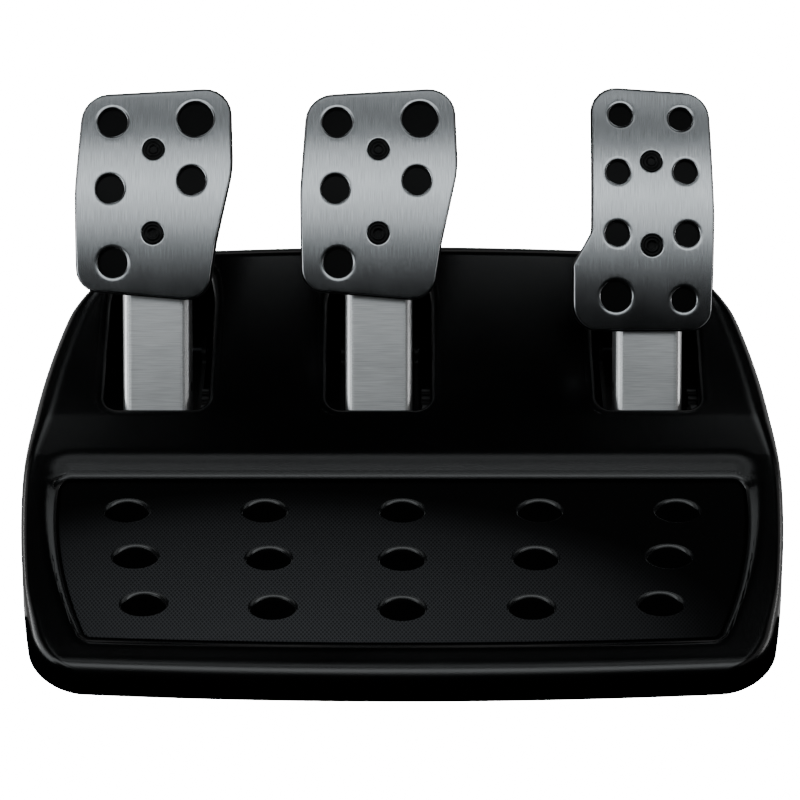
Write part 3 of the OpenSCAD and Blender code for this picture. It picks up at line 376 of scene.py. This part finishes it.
# Profile of a slot's rolled lip: distance outside the slot and height over the skin
LIP_PROFILE = [(6.2, -0.03), (5.8, 0.04), (4.4, 0.05), (3.2, 0.0), (2.3, -0.2), (1.5, -0.6), (0.8, -1.2), (0.3, -2.0),
               (0.0, -3.0), (0.0, -5.0), (0.0, -7.0), (1.2, -7.2), (2.5, -7.0), (2.5, -3.4)]


def build_slot_lip(name, x0):
    base = slot_outline()
    pts = []
    for d, dz in LIP_PROFILE:
        loop = inset_loop(base, -d)
        x = loop[:, 0] + x0
        y = loop[:, 1]
        z = surface_z(x, unbow(x, y)) + dz
        pts += list(np.stack([x, from_front(y), z], axis=1))
    return oriented(mesh_object(name, pts, bridge(len(LIP_PROFILE), len(base))), UP, 60.0)


# Profile of the edge round the mat: distance outside the mat and height over the bank
FRAME_PROFILE = [(5.0, -0.02), (4.6, 0.012), (2.6, 0.02), (2.0, 0.02), (1.7, 0.0), (1.15, -0.13), (0.5, -0.31),
                 (0.3, -0.4), (0.14, -0.55), (0.06, -0.75), (0.02, -1.2), (0.02, -4.0)]
FRAME_STEP = 3.0


def build_mat_frame():
    base = resample(mat_outline(0.0), FRAME_STEP)
    pts = []
    n = len(base)
    for d, dz in FRAME_PROFILE:
        loop = inset_loop(base, -d)
        x, y = loop[:, 0], loop[:, 1]
        skin = smooth_min(surface_z(x, unbow(x, y)), bank_z(y, np.full(n, d)), BANK_EASE)
        pts += list(np.stack([x, from_front(y), skin + dz], axis=1))
    return oriented(mesh_object("mat_frame", pts, bridge(len(FRAME_PROFILE), n)), UP, 80.0)


# Heel mat with sunk dimples, whose rows bend more towards the mat's front
DIMPLE_ROWS, DIMPLES_HALF_ROW, ROW_BOW = 3, 2, 0.4
# Points of the mat across and along, gap to its frame, width and drop of its rolled edge, and cut round a dimple
MAT_COLUMNS, MAT_ROWS, MAT_GAP, MAT_EDGE, MAT_EDGE_DROP, DIMPLE_CUT = 321, 93, 0.1, 1.0, 0.7, 1.12


def dimples():
    """Middles of the dimples in plan."""
    for row in range(DIMPLE_ROWS):
        y = MAT_REAR_Y - DIMPLE_REAR
        y -= row * (MAT_REAR_Y - MAT_FRONT_Y - DIMPLE_REAR - DIMPLE_FRONT) / (DIMPLE_ROWS - 1)
        half = mat_half((y - MAT_FRONT_Y) / (MAT_REAR_Y - MAT_FRONT_Y))
        for c in range(-DIMPLES_HALF_ROW, DIMPLES_HALF_ROW + 1):
            s = c / DIMPLES_HALF_ROW
            yield s * (half - DIMPLE_SIDE), y + ROW_BOW * MAT_BOW * row * s * s


def build_mat():
    xs = np.linspace(-MAT_REAR_HALF, MAT_REAR_HALF, MAT_COLUMNS)
    ys = np.linspace(MAT_FRONT_Y, MAT_REAR_Y, MAT_ROWS)
    outline = mat_outline(-MAT_GAP)
    # Each row of points is spread over the mat's own width there
    grid = []
    for y in ys:
        f = (y - MAT_FRONT_Y) / (MAT_REAR_Y - MAT_FRONT_Y)
        half = mat_half(f) + mat_swell(f)
        for s in xs / MAT_REAR_HALF:
            grid.append((half * s, y + MAT_BOW * s * s * (1 - f)))
    plan = np.array(grid)
    d = signed_distance(plan, outline)
    z = mat_z(plan[:, 1])
    gone = np.zeros(len(plan), bool)
    for x, y in dimples():
        gone |= np.hypot((plan[:, 0] - x) / (DIMPLE_L / 2), (plan[:, 1] - y) / (DIMPLE_W / 2)) < DIMPLE_CUT
    edge = np.clip((d + MAT_EDGE) / MAT_EDGE, 0, 1)
    z -= MAT_EDGE_DROP * edge * edge
    n = len(xs)
    faces = []
    keep = (d < MAT_GAP / 2) & ~gone
    for i in range(len(ys) - 1):
        for j in range(n - 1):
            a = i * n + j
            if keep[a] and keep[a + 1] and keep[a + n] and keep[a + n + 1]:
                faces.append((a, a + 1, a + n + 1, a + n))
    pts = np.stack([plan[:, 0], from_front(plan[:, 1]), z], axis=1)
    obj = oriented(mesh_object("heel_mat_face", pts, faces), UP)
    thick = obj.modifiers.new("sheet", "SOLIDIFY")
    thick.thickness = MAT_SHEET_T * MM
    thick.offset = -1
    return obj


# Profiles of a dimple, its land, rim and cup: share of its radius, and height over the mat
LAND_PROFILE = [(1.4, 0.0), (1.34, 0.02), (1.08, 0.02), (1.04, 0.0)]
RIM_PROFILE = [(1.04, 0.0), (0.99, -0.06), (0.94, -0.19), (0.89, -0.38), (0.84, -0.62), (0.8, -0.86)]
CUP_PROFILE = [(0.8, -0.86), (0.75, -1.17), (0.68, -1.36), (0.56, -1.42), (0.3, -1.42), (0.02, -1.42)]
# The rim's outer and inner shares, how much narrower it is at the dimple's front, and where it starts to narrow
RIM_OUT, RIM_IN, RIM_CRISP, CRISP_FROM, CRISP_FADE = 1.04, 0.8, 0.9, 0.35, 0.7
DIMPLE_POINTS = 72


def build_dimples(name, profile, floored):
    turn = full_turn(DIMPLE_POINTS)
    pts, faces = [], []
    n = len(turn)
    crisp = 1 - RIM_CRISP * np.clip((CRISP_FROM - np.sin(turn)) / CRISP_FADE, 0, 1)
    for x0, y0 in dimples():
        for q, dz in profile:
            if RIM_IN <= q < RIM_OUT:
                q, dz = RIM_OUT - (RIM_OUT - q) * crisp, dz * crisp
            x = x0 + DIMPLE_L / 2 * q * np.cos(turn)
            y = y0 + DIMPLE_W / 2 * q * np.sin(turn)
            pts += list(np.stack([x, from_front(y), mat_z(y) + dz], axis=1))
        faces += bridge(len(profile), n, len(pts) - n * len(profile))
        if floored:
            faces.append(tuple(range(len(pts) - n, len(pts))))
    return oriented(mesh_object(name, pts, faces), UP, 80.0)


# Return springs, between seats at both ends of their struts
COIL_R, WIRE_R, COIL_TURNS, SEAT, SEAT_GAP, DEAD_TURN, DEAD_PITCH = 9.4, 1.2, 7, 13.0, 0.3, 0.8, 3.0
TURN_STEPS, WIRE_SIDES = 32, 10


def node_middle(name):
    low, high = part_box(name)
    return (Vector(low) + Vector(high)) / 2


def spring_axis(pedal):
    """Foot of the strut, its direction and its length in millimetres, from its two pins."""
    foot = node_middle(pedal + "_lower_pin")
    along = node_middle(pedal + "_upper_pin") - foot
    along.x = 0.0
    return foot, along.normalized(), along.length / MM


def build_spring(pedal):
    foot, along, length = spring_axis(pedal)
    across = Vector((1, 0, 0))
    third = along.cross(across)
    coil = length - 2 * (SEAT + WIRE_R + SEAT_GAP)
    turn = np.linspace(0, COIL_TURNS, COIL_TURNS * TURN_STEPS + 1)
    # The end turns close up on their seats
    knots = [0, DEAD_TURN, COIL_TURNS - DEAD_TURN, COIL_TURNS]
    rise = np.interp(turn, knots, [0, DEAD_TURN * DEAD_PITCH, coil - DEAD_TURN * DEAD_PITCH, coil])
    pts = []
    for u, z in zip(turn, rise):
        a = 2 * math.pi * u
        for b in full_turn(WIRE_SIDES):
            r = COIL_R + WIRE_R * math.cos(b)
            h = SEAT + WIRE_R + SEAT_GAP + z + WIRE_R * math.sin(b)
            pts.append(foot / MM + across * (r * math.cos(a)) + third * (r * math.sin(a)) + along * h)
    faces = bridge(len(turn), WIRE_SIDES)
    faces += [tuple(range(WIRE_SIDES))[::-1], tuple(range(len(pts) - WIRE_SIDES, len(pts)))]
    return mesh_object(pedal + "_coil", pts, faces)


def squeeze(obj, pedal):
    """Gives a spring its own mesh and reads how far its strut slides, but leaves the spring's length as it is."""
    foot, along, length = spring_axis(pedal)
    slide = next(j for j in frame["joints"] if j["name"] == pedal + "_strut_slide")
    travel = max(abs(v) for v in slide["range_m"]) / MM
    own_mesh(obj)
    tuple(along)


# Pedal plates: corners and their radii, and holes as places and radii, seen square on
WIDE_CORNERS = [(45.5, 12), (43.5, 60.8), (-41, 55.8), (-44.8, 0), (-44, -57), (31, -63.4), (36, -30)]
WIDE_RADII = [60, 15, 16, 120, 13, 14, 60]
WIDE_HOLES = [(-24.1, 41.1, 8.9), (24.1, 43.1, 10.7), (-24.9, 1.3, 8.5), (22.3, 6.3, 8.5), (-23.3, -41.7, 8.8)]
SLIM_CORNERS = [(35.7, -5), (33.5, 64), (-33.7, 69), (-34.4, -16), (-45.3, -35.5), (-45, -73.5), (34.5, -73.5)]
SLIM_RADII = [140, 15, 14, 8, 6, 15, 12]
SLIM_HOLES = [(-17.4, 53.1, 7.1), (17.5, 50.4, 7.1), (-19.4, 18.5, 7.1), (19.6, 18.5, 7.1), (-20.1, -17.8, 7.3),
              (20.5, -18.3, 7.3), (-20.6, -54, 9.3), (18.7, -56, 7.4)]
SCREW_V, SUNK_R, HOLE_BEVEL = 24.7, 6.5, 2.2
# Rim of a hole: share of its bevel and depth. Seat of a screw: added radius and depth.
HOLE_RIM = [(1.0, 0.0), (0.68, 0.05), (0.36, 0.16), (0.11, 0.33), (0.0, 0.55), (0.0, PLATE_T)]
SCREW_SEAT = [(0.8, 0.0), (0.45, 0.04), (0.12, 0.13), (0.0, 0.3), (-1.7, 2.0)]
PLATE_EDGE_R, PLATE_STEP, CORNER_STEPS, HOLE_POINTS = 0.8, 2.0, 14, 56
# Points inside the flat face: ranges across and along, their step, and their least distance from an edge
FACE_U, FACE_S, FACE_STEP, FACE_CLEAR = (-48, 49), (-50, 104), 4.0, 1.5


def level(obj, name):
    """Large faces keep their own normals, so that only bevels and roundings are shaded round."""
    even = obj.modifiers.new(name, "WEIGHTED_NORMAL")
    even.weight = 80
    even.keep_sharp = True


def plate_point(pedal, u, s, depth):
    """Point of a plate: across, along its curve from the square point, and under its face."""
    r = PLATE_R - depth
    a = s / PLATE_R
    t = PLATE_MID[pedal] - PLATE_LOW + r * math.sin(a)
    n = PLATE_N - PLATE_R + r * math.cos(a)
    y = PIVOT_Y + t * math.cos(ARM_ANGLE) - n * math.sin(ARM_ANGLE)
    z = PIVOT_Z + t * math.sin(ARM_ANGLE) + n * math.cos(ARM_ANGLE)
    return (PEDALS[pedal] + u, from_front(y), z)


def build_plate(pedal):
    slim = pedal == "throttle"
    corners = SLIM_CORNERS if slim else WIDE_CORNERS
    outline = rounded(corners, SLIM_RADII if slim else WIDE_RADII, CORNER_STEPS)
    outline = resample(outline, PLATE_STEP)
    outline[:, 1] = PLATE_R * np.arcsin((outline[:, 1] + PLATE_LOW) / PLATE_R)
    edge = [(inset_loop(outline, PLATE_EDGE_R * (1 - math.sin(a))), PLATE_EDGE_R * (1 - math.cos(a)))
            for a in np.linspace(0, math.pi / 2, 5)] + [(outline, PLATE_T)]
    stacks = [edge]
    turn = full_turn(HOLE_POINTS)
    ring = np.stack([np.cos(turn), np.sin(turn)], axis=1)
    rim = [(HOLE_BEVEL * share, depth) for share, depth in HOLE_RIM]
    holes = [(u, v, r, rim) for u, v, r in (SLIM_HOLES if slim else WIDE_HOLES)]
    holes += [(0, v, SUNK_R, SCREW_SEAT) for v in (SCREW_V, -SCREW_V)]
    for u, v, r, steps in holes:
        c = np.array([u, v + PLATE_LOW])
        stacks.append([(c + ring * (r + added), depth) for added, depth in steps])
    verts, uvs, faces = [], [], []

    def add(loop, depth):
        first = len(verts)
        verts.extend(plate_point(pedal, u, s, depth) for u, s in loop)
        uvs.extend((u * MM, s * MM) for u, s in loop)
        return first

    # The flat face fills the space between the inner ends of all edges
    loops = [stack[0][0] for stack in stacks]
    grid = np.array([(u, s) for u in np.arange(*FACE_U, FACE_STEP) for s in np.arange(*FACE_S, FACE_STEP)])
    ok = signed_distance(grid, loops[0]) < -FACE_CLEAR
    for hole in loops[1:]:
        ok &= signed_distance(grid, hole) > FACE_CLEAR
    flat = np.concatenate(loops + [grid[ok]])
    bounds, start = [], 0
    for loop in loops:
        k = len(loop)
        bounds += [(start + i, start + (i + 1) % k) for i in range(k)]
        start += k
    out = delaunay_2d_cdt([Vector((float(u), float(s))) for u, s in flat], bounds, [], 0, 1e-5)
    cv = np.array([tuple(v) for v in out[0]])
    tri = out[2]
    mid = np.array([cv[list(f)].mean(axis=0) for f in tri])
    keep = signed_distance(mid, loops[0]) < 0
    for hole in loops[1:]:
        keep &= signed_distance(mid, hole) > 0
    first = add(cv, 0.0)
    faces += [tuple(first + k for k in f) for f, good in zip(tri, keep) if good]
    for stack in stacks:
        starts = [add(loop, depth) for loop, depth in stack]
        k = len(stack[0][0])
        for a0, b0 in zip(starts, starts[1:]):
            for i in range(k):
                j = (i + 1) % k
                quad = (a0 + i, b0 + i, b0 + j, a0 + j)
                faces.append(quad if stack is stacks[0] else quad[::-1])
    obj = mesh_object(pedal + "_plate_skin", verts, faces, uvs, smooth_angle=50)
    oriented(obj, Vector((0, -math.sin(ARM_ANGLE), math.cos(ARM_ANGLE))), 35.0)
    level(obj, "even")
    return obj


# Profile of a plate screw from its tip to its socket: radius and depth under the plate's face
SCREW_PROFILE = [(0.02, 12.0), (2.0, 12.0), (2.0, 2.3), (4.5, 2.0), (6.1, 0.62), (6.1, 0.42), (5.95, 0.28), (5.7, 0.2),
                 (5.0, 0.2), (4.75, 0.26), (4.55, 0.42), (4.1, 0.42), (3.9, 0.26), (3.65, 0.2), (3.1, 0.2), (2.85, 0.3)]
SOCKET_PROFILE = [(2.5, 0.45), (2.4, 1.5), (0.02, 1.55)]
SCREW_POINTS = 60


def build_screws(pedal):
    turn = full_turn(SCREW_POINTS)
    # Reach of a hexagon's side at each angle, as a share of its corner's
    hexagon = math.cos(math.pi / 6) / np.cos((turn + math.pi / 6) % (math.pi / 3) - math.pi / 6)
    rings = [(np.full(len(turn), q), depth) for q, depth in SCREW_PROFILE]
    rings += [(q * hexagon, depth) for q, depth in SOCKET_PROFILE]
    n = len(turn)
    verts, faces = [], []
    for v in (SCREW_V, -SCREW_V):
        first = len(verts)
        for q, depth in rings:
            verts += [plate_point(pedal, r * math.cos(a), v + PLATE_LOW + r * math.sin(a), depth)
                      for r, a in zip(q, turn)]
        faces += bridge(len(rings), n, first)
        faces += [tuple(range(first, first + n))[::-1], tuple(range(len(verts) - n, len(verts)))]
    return mesh_object(pedal + "_screw_heads", verts, faces, smooth_angle=50)


# Materials
def material(name, color, rough, metal=0.0, specular=0.5):
    mat = bpy.data.materials.new(name)
    mat.use_nodes = True
    shader = mat.node_tree.nodes["Principled BSDF"]
    shader.inputs["Base Color"].default_value = (*color, 1)
    shader.inputs["Roughness"].default_value = rough
    shader.inputs["Metallic"].default_value = metal
    shader.inputs["Specular IOR Level"].default_value = specular
    return mat, mat.node_tree.nodes, mat.node_tree.links, shader


def noise(ns, ln, scale, detail=2.0, stretch=None, uv=False):
    """Noise in the object's own metres, or over the plate's face."""
    tex = ns.new("ShaderNodeTexNoise")
    tex.inputs["Scale"].default_value = scale
    tex.inputs["Detail"].default_value = detail
    coord = ns.new("ShaderNodeTexCoord")
    out = coord.outputs["UV" if uv else "Object"]
    if stretch:
        mapping = ns.new("ShaderNodeMapping")
        mapping.inputs["Scale"].default_value = stretch
        ln.new(out, mapping.inputs["Vector"])
        out = mapping.outputs["Vector"]
    ln.new(out, tex.inputs["Vector"])
    return tex


def ramp(ns, ln, source, low, high, a=0.3, b=0.7):
    """Maps a value to a range, for a colour if low is a colour."""
    node = ns.new("ShaderNodeValToRGB")
    node.color_ramp.elements[0].position = a
    node.color_ramp.elements[1].position = b
    for e, v in zip(node.color_ramp.elements, (low, high)):
        e.color = (*v, 1) if isinstance(v, tuple) else (v, v, v, 1)
    ln.new(source, node.inputs["Fac"])
    return node.outputs["Color"]


def bump(ns, ln, shader, height, strength, distance):
    node = ns.new("ShaderNodeBump")
    node.inputs["Strength"].default_value = strength
    node.inputs["Distance"].default_value = distance
    ln.new(height, node.inputs["Height"])
    ln.new(node.outputs["Normal"], shader.inputs["Normal"])


def plastic(name, color, rough, grain=0.25, scale=2600.0, specular=0.45):
    """Moulded plastic: fine spark grain, slight change of gloss."""
    mat, ns, ln, shader = material(name, color, rough, specular=specular)
    fine = noise(ns, ln, scale, 1.0)
    broad = noise(ns, ln, 14.0, 3.0)
    ln.new(ramp(ns, ln, broad.outputs["Fac"], rough * 0.9, rough * 1.12), shader.inputs["Roughness"])
    tint = tuple(c * 1.35 for c in color)
    ln.new(ramp(ns, ln, fine.outputs["Fac"], color, tint), shader.inputs["Base Color"])
    bump(ns, ln, shader, fine.outputs["Fac"], grain, 0.0001)
    return mat


def metal(name, color, rough, stretch, depth=0.15, uv=False, scale=900.0, bare=1.0):
    """Metal with fine lines of brushing along one direction."""
    mat, ns, ln, shader = material(name, color, rough, metal=bare)
    lines = noise(ns, ln, scale, 3.0, stretch, uv)
    cloud = noise(ns, ln, 35.0, 2.0, None, uv)
    dark = tuple(c * 0.72 for c in color)
    bright = tuple(min(1.0, c * 1.2) for c in color)
    ln.new(ramp(ns, ln, lines.outputs["Fac"], dark, bright, 0.25, 0.75), shader.inputs["Base Color"])
    ln.new(ramp(ns, ln, cloud.outputs["Fac"], rough * 0.9, rough * 1.1), shader.inputs["Roughness"])
    bump(ns, ln, shader, lines.outputs["Fac"], depth, 0.00006)
    return mat


# The mat's ribs, and its painted light and shade, paler at the front and darker towards the rear and the right: middle
# in metres, scale, and stops with their share of the full colour
RIB_ANGLE, RIB_SCALE = 40, 190.0
PAINTED_LIGHT_MID, PAINTED_LIGHT_SCALE = (-0.07, -0.128), (3.86, 9.65)
PAINTED_LIGHT_STOPS = [(0.0, 0.02), (0.83, 1.23), (0.074, 0.14), (0.218, 0.55), (0.426, 0.85)]


def weave(name, color, rough):
    """Heel mat: two sets of fine diagonal ribs over dark rubber, with painted light at its front and painted shade
    towards its rear.
    """
    mat, ns, ln, shader = material(name, color, rough, specular=0.07)
    coord = ns.new("ShaderNodeTexCoord")
    heights = []
    for angle in (RIB_ANGLE, -RIB_ANGLE):
        mapping = ns.new("ShaderNodeMapping")
        mapping.inputs["Rotation"].default_value = (0, 0, math.radians(angle))
        ln.new(coord.outputs["Object"], mapping.inputs["Vector"])
        wave = ns.new("ShaderNodeTexWave")
        wave.inputs["Scale"].default_value = RIB_SCALE
        wave.inputs["Distortion"].default_value = 0.4
        ln.new(mapping.outputs["Vector"], wave.inputs["Vector"])
        heights.append(wave.outputs["Fac"])
    both = ns.new("ShaderNodeMath")
    both.operation = "MAXIMUM"
    ln.new(heights[0], both.inputs[0])
    ln.new(heights[1], both.inputs[1])
    # Painted light and shade: paler in front of the clutch and brake, darker towards the mat's rear and right, as
    # painted shade of the bank round the mat
    spot = ns.new("ShaderNodeMapping")
    spot.inputs["Location"].default_value = (*[-m * k for m, k in zip(PAINTED_LIGHT_MID, PAINTED_LIGHT_SCALE)], 0.0)
    spot.inputs["Scale"].default_value = (*PAINTED_LIGHT_SCALE, 0.0)
    ln.new(coord.outputs["Object"], spot.inputs["Vector"])
    painted_light_gradient = ns.new("ShaderNodeTexGradient")
    painted_light_gradient.gradient_type = "SPHERICAL"
    ln.new(spot.outputs["Vector"], painted_light_gradient.inputs["Vector"])
    ribs = ramp(ns, ln, both.outputs[0], 0.35, 1.0, 0.5, 1.0)
    (start, least), (end, most), *between = PAINTED_LIGHT_STOPS
    faint, full = tuple(c * least for c in color), tuple(c * most for c in color)
    painted_light_ramp = ramp(ns, ln, painted_light_gradient.outputs["Fac"], faint, full, start, end)
    for at, share in between:
        stop = painted_light_ramp.node.color_ramp.elements.new(at)
        stop.color = (*[c * share for c in color], 1.0)
    mix = ns.new("ShaderNodeMix")
    mix.data_type = "RGBA"
    mix.blend_type = "MULTIPLY"
    mix.inputs["Factor"].default_value = 1.0
    ln.new(painted_light_ramp, mix.inputs["A"])
    ln.new(ribs, mix.inputs["B"])
    ln.new(mix.outputs["Result"], shader.inputs["Base Color"])
    bump(ns, ln, shader, both.outputs[0], 0.35, 0.0002)
    return mat


housing_black = plastic("housing_black", (0.0012, 0.0013, 0.0015), 0.2, grain=0.45, scale=1900.0, specular=0.75)
dark_plastic = plastic("dark_plastic", (0.003, 0.003, 0.0033), 0.5)
pad_black = plastic("pad_black", (0.0006, 0.0006, 0.0007), 0.42, scale=1500.0, specular=0.14)
rubber_black = plastic("rubber_black", (0.012, 0.012, 0.012), 0.75, grain=0.4, scale=1400.0, specular=0.3)
mat_rubber = weave("mat_rubber", (0.075, 0.077, 0.082), 0.6)
rim_rubber = plastic("rim_rubber", (0.004, 0.0042, 0.0045), 0.22, grain=0.1, specular=0.8)
# The dimples' cups are far darker than the mat's rubber: painted shade on the dimples' floors.
cup_rubber_painted_shade = plastic("cup_rubber_painted_shade", (0.0008, 0.0008, 0.0009), 0.5, grain=0.1, specular=0.03)
plate_metal = metal("plate_metal", (0.50, 0.515, 0.53), 0.21, (1.0, 0.02, 1.0), uv=True, scale=4600.0)
arm_metal = metal("arm_metal", (0.82, 0.83, 0.84), 0.33, (0.02, 1.0, 1.0), depth=0.3, scale=3000.0, bare=0.9)
# The dark steel, the brackets, the nylon and the sensor case are darker than their own finish: painted shade for the
# inside of the housing seen through the slots.
dark_steel = metal("dark_steel", (0.07, 0.072, 0.078), 0.4, (0.1, 1.0, 1.0), depth=0.1)
bracket_steel = plastic("bracket_steel", (0.004, 0.004, 0.0043), 0.45)
spring_steel = metal("spring_steel", (0.08, 0.08, 0.085), 0.35, (1.0, 1.0, 1.0), depth=0.05)
brass = metal("brass", (0.60, 0.43, 0.17), 0.3, (1.0, 1.0, 0.1), depth=0.1)
nylon = plastic("nylon", (0.008, 0.008, 0.008), 0.5, grain=0.1)
sensor_case = plastic("sensor_case", (0.004, 0.005, 0.008), 0.45)
brake_rubber = plastic("brake_rubber", (0.16, 0.03, 0.02), 0.7, grain=0.4, scale=1400.0, specular=0.3)
screw_black = plastic("screw_black", (0.0008, 0.0008, 0.0009), 0.3, grain=0.1, specular=0.16)

BY_PIECE = {"arm": arm_metal, "axle": dark_steel, "bushes": nylon, "bracket": bracket_steel, "sector_gear": nylon,
            "sensor": sensor_case, "sensor_gear": nylon, "spring": spring_steel, "spring_rod": dark_plastic,
            "spring_sleeve": dark_plastic, "upper_pin": dark_steel, "lower_pin": dark_steel,
            "rest_bumper": rubber_black, "face_plate": plate_metal, "backing_pad": pad_black,
            "plate_screws": screw_black}
BY_NODE = {"upper_housing": housing_black, "base_plate": dark_plastic, "heel_mat": mat_rubber,
           "rubber_feet": rubber_black, "housing_screws": dark_steel, "bracket_screws": dark_steel,
           "sensor_screws": dark_steel, "mount_inserts": brass, "cable_gland": rubber_black,
           "brake_rubber_block": brake_rubber}
for pedal in PEDALS:
    for piece, mat in BY_PIECE.items():
        BY_NODE[pedal + "_" + piece] = mat
for name, obj in nodes.items():
    obj.data.materials.clear()
    obj.data.materials.append(BY_NODE[name])
for pedal in PEDALS:
    # Each flat of an arm shades as one face
    merge = nodes[pedal + "_arm"].modifiers.new("merge", "DECIMATE")
    merge.decimate_type = "DISSOLVE"
    merge.angle_limit = math.radians(0.5)
    level(nodes[pedal + "_arm"], "level")


# Pieces
def place(obj, body, mat, slot, *replaced):
    obj.data.materials.append(mat)
    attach(obj, body)
    if replaced:
        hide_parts(*replaced)


housing = build_housing()
place(housing, "base", housing_black, "housing", "upper_housing")
for pedal, x in PEDALS.items():
    place(build_slot_lip(pedal + "_slot_lip", x), "base", housing_black, "housing")
place(build_mat_frame(), "base", housing_black, "housing")
place(build_mat(), "base", mat_rubber, "mat", "heel_mat")
place(build_dimples("dimple_lands", LAND_PROFILE, False), "base", mat_rubber, "mat")
place(build_dimples("dimple_rims", RIM_PROFILE, False), "base", rim_rubber, "mat")
place(build_dimples("dimple_cups", CUP_PROFILE, True), "base", cup_rubber_painted_shade, "mat")
for pedal in PEDALS:
    place(build_plate(pedal), pedal + "_pedal", plate_metal, "plate_metal", pedal + "_face_plate")
    place(build_screws(pedal), pedal + "_pedal", screw_black, "black_screws", pedal + "_plate_screws")
    coil = build_spring(pedal)
    place(coil, pedal + "_strut_rod", spring_steel, "spring_steel", pedal + "_spring")
    squeeze(coil, pedal)


# Floor, light and camera: the point that the lights face, the floor's half width and the backdrop's strength
LIT = Vector((0, 0.09, 0.1))
FLOOR_HALF, BACKDROP = 40, 20.0


def panel(name, azimuth, elevation, wide, high, radiance, distance=2.6, color=(1, 1, 1)):
    """Area light that faces the pedals. Azimuth 0 is straight in front and 90 on the right, and the
    panel's width and height are in degrees as seen from the pedals."""
    a, e = math.radians(azimuth), math.radians(elevation)
    data = bpy.data.lights.new(name, "AREA")
    data.shape = "RECTANGLE"
    data.size = 2 * distance * math.tan(math.radians(wide / 2))
    data.size_y = 2 * distance * math.tan(math.radians(high / 2))
    data.energy = radiance * math.pi * data.size * data.size_y
    data.color = color
    obj = bpy.data.objects.new(name, data)
    away = Vector((math.sin(a) * math.cos(e), -math.cos(a) * math.cos(e), math.sin(e)))
    obj.location = LIT + away * distance
    obj.rotation_euler = (-away).to_track_quat("-Z", "Y").to_euler()
    bpy.context.scene.collection.objects.link(obj)
    return obj


floor_mat, _, _, shader = material("floor_white", (0.9, 0.9, 0.9), 0.8, specular=0.0)
shader.inputs["Emission Color"].default_value = (1, 1, 1, 1)
shader.inputs["Emission Strength"].default_value = BACKDROP
mesh = bpy.data.meshes.new("floor")
corners = [(-1, -1), (1, -1), (1, 1), (-1, 1)]
mesh.from_pydata([(x * FLOOR_HALF, y * FLOOR_HALF, 0) for x, y in corners], [], [(0, 1, 2, 3)])
floor = bpy.data.objects.new("floor", mesh)
floor.data.materials.append(floor_mat)
floor.visible_glossy = False
floor.visible_diffuse = False
bpy.context.scene.collection.objects.link(floor)

world = bpy.data.worlds.new("studio")
world.use_nodes = True
background = world.node_tree.nodes["Background"]
background.inputs["Color"].default_value = (1, 1, 1, 1)
background.inputs["Strength"].default_value = BACKDROP
# The white surroundings are only a backdrop, so that the black plastic stays black
world.cycles_visibility.glossy = False
world.cycles_visibility.diffuse = False
bpy.context.scene.world = world

# An overhead arch of soft light, brightest in front of straight above: elevation and radiance of its bands
COOL = (0.93, 0.98, 1.0)
ARCH = [(44, 0.03), (51, 0.3), (58, 1.15), (65, 1.9), (72, 1.4), (79, 0.17), (86, 0.22), (92, 0.8)]
ARCH_WIDE, ARCH_BAND = 58, 7
for elevation, radiance in ARCH:
    panel("arch_%d" % elevation, 0, elevation, ARCH_WIDE, ARCH_BAND, radiance, color=COOL)
panel("left_upper", -48, 32, 26, 16, 1.5, color=COOL)
panel("left_lower", -78, 10, 40, 26, 1.6, color=COOL)
panel("right_rim", 92, 3, 36, 8, 3.6, 1.6)
panel("left_rim", -96, 3, 36, 8, 3.6, 1.6)
panel("back_right", 137, 38, 22, 18, 1.0, 0.86, color=COOL)
panel("back_left", -137, 38, 22, 18, 0.9, 0.86, color=COOL)
# A faint ring of light low down, and sheets of it on the floor, draw the sides and the back
RING = [(60, 0.2), (98, 0.3), (180, 0.3), (-98, 0.3), (-60, 0.2)]
RING_UP, RING_WIDE, RING_HIGH = 24, 36, 22
for azimuth, radiance in RING:
    panel("fill_%d" % azimuth, azimuth, RING_UP, RING_WIDE, RING_HIGH, radiance)
# Edges of each sheet in metres: left, right, front and rear
SHEETS = {"rear": (-0.205, 0.205, 0.146, 0.86), "right": (0.205, 0.96, -0.09, 0.86),
          "left": (-0.96, -0.205, -0.09, 0.86)}
SHEET_Z, SHEET_RADIANCE = 0.001, 0.4
for name, (x0, x1, y0, y1) in SHEETS.items():
    glow = panel("floor_" + name, 0, -90, 1, 1, 0.0)
    glow.location = ((x0 + x1) / 2, (y0 + y1) / 2, SHEET_Z)
    glow.rotation_euler = (math.pi, 0, 0)
    glow.data.size, glow.data.size_y = x1 - x0, y1 - y0
    glow.data.energy = SHEET_RADIANCE * math.pi * (x1 - x0) * (y1 - y0)
    glow.visible_camera = False

# The camera looks down from in front; its focal length and centre are in pixels of a square picture
CAM_E, CAM_DIST, CAM_F, CAM_CX, CAM_CY = math.radians(48.61), 1.0995, 1928.96, 402.24, 423.1
AIM_Y, AIM_Z, PICTURE, SENSOR = 150.0, 60.0, 800.0, 36.0
target = Vector((0, from_front(AIM_Y) * MM, AIM_Z * MM))
forward = Vector((0, math.cos(CAM_E), -math.sin(CAM_E)))
cam = bpy.data.cameras.new("camera")
cam.sensor_width = SENSOR
cam.lens = CAM_F * SENSOR / PICTURE
cam.shift_x = -(CAM_CX - PICTURE / 2) / PICTURE
cam.shift_y = (CAM_CY - PICTURE / 2) / PICTURE
cam_obj = bpy.data.objects.new("camera", cam)
cam_obj.location = target - forward * CAM_DIST
cam_obj.rotation_euler = forward.to_track_quat("-Z", "Y").to_euler()
bpy.context.scene.collection.objects.link(cam_obj)
bpy.context.scene.camera = cam_obj
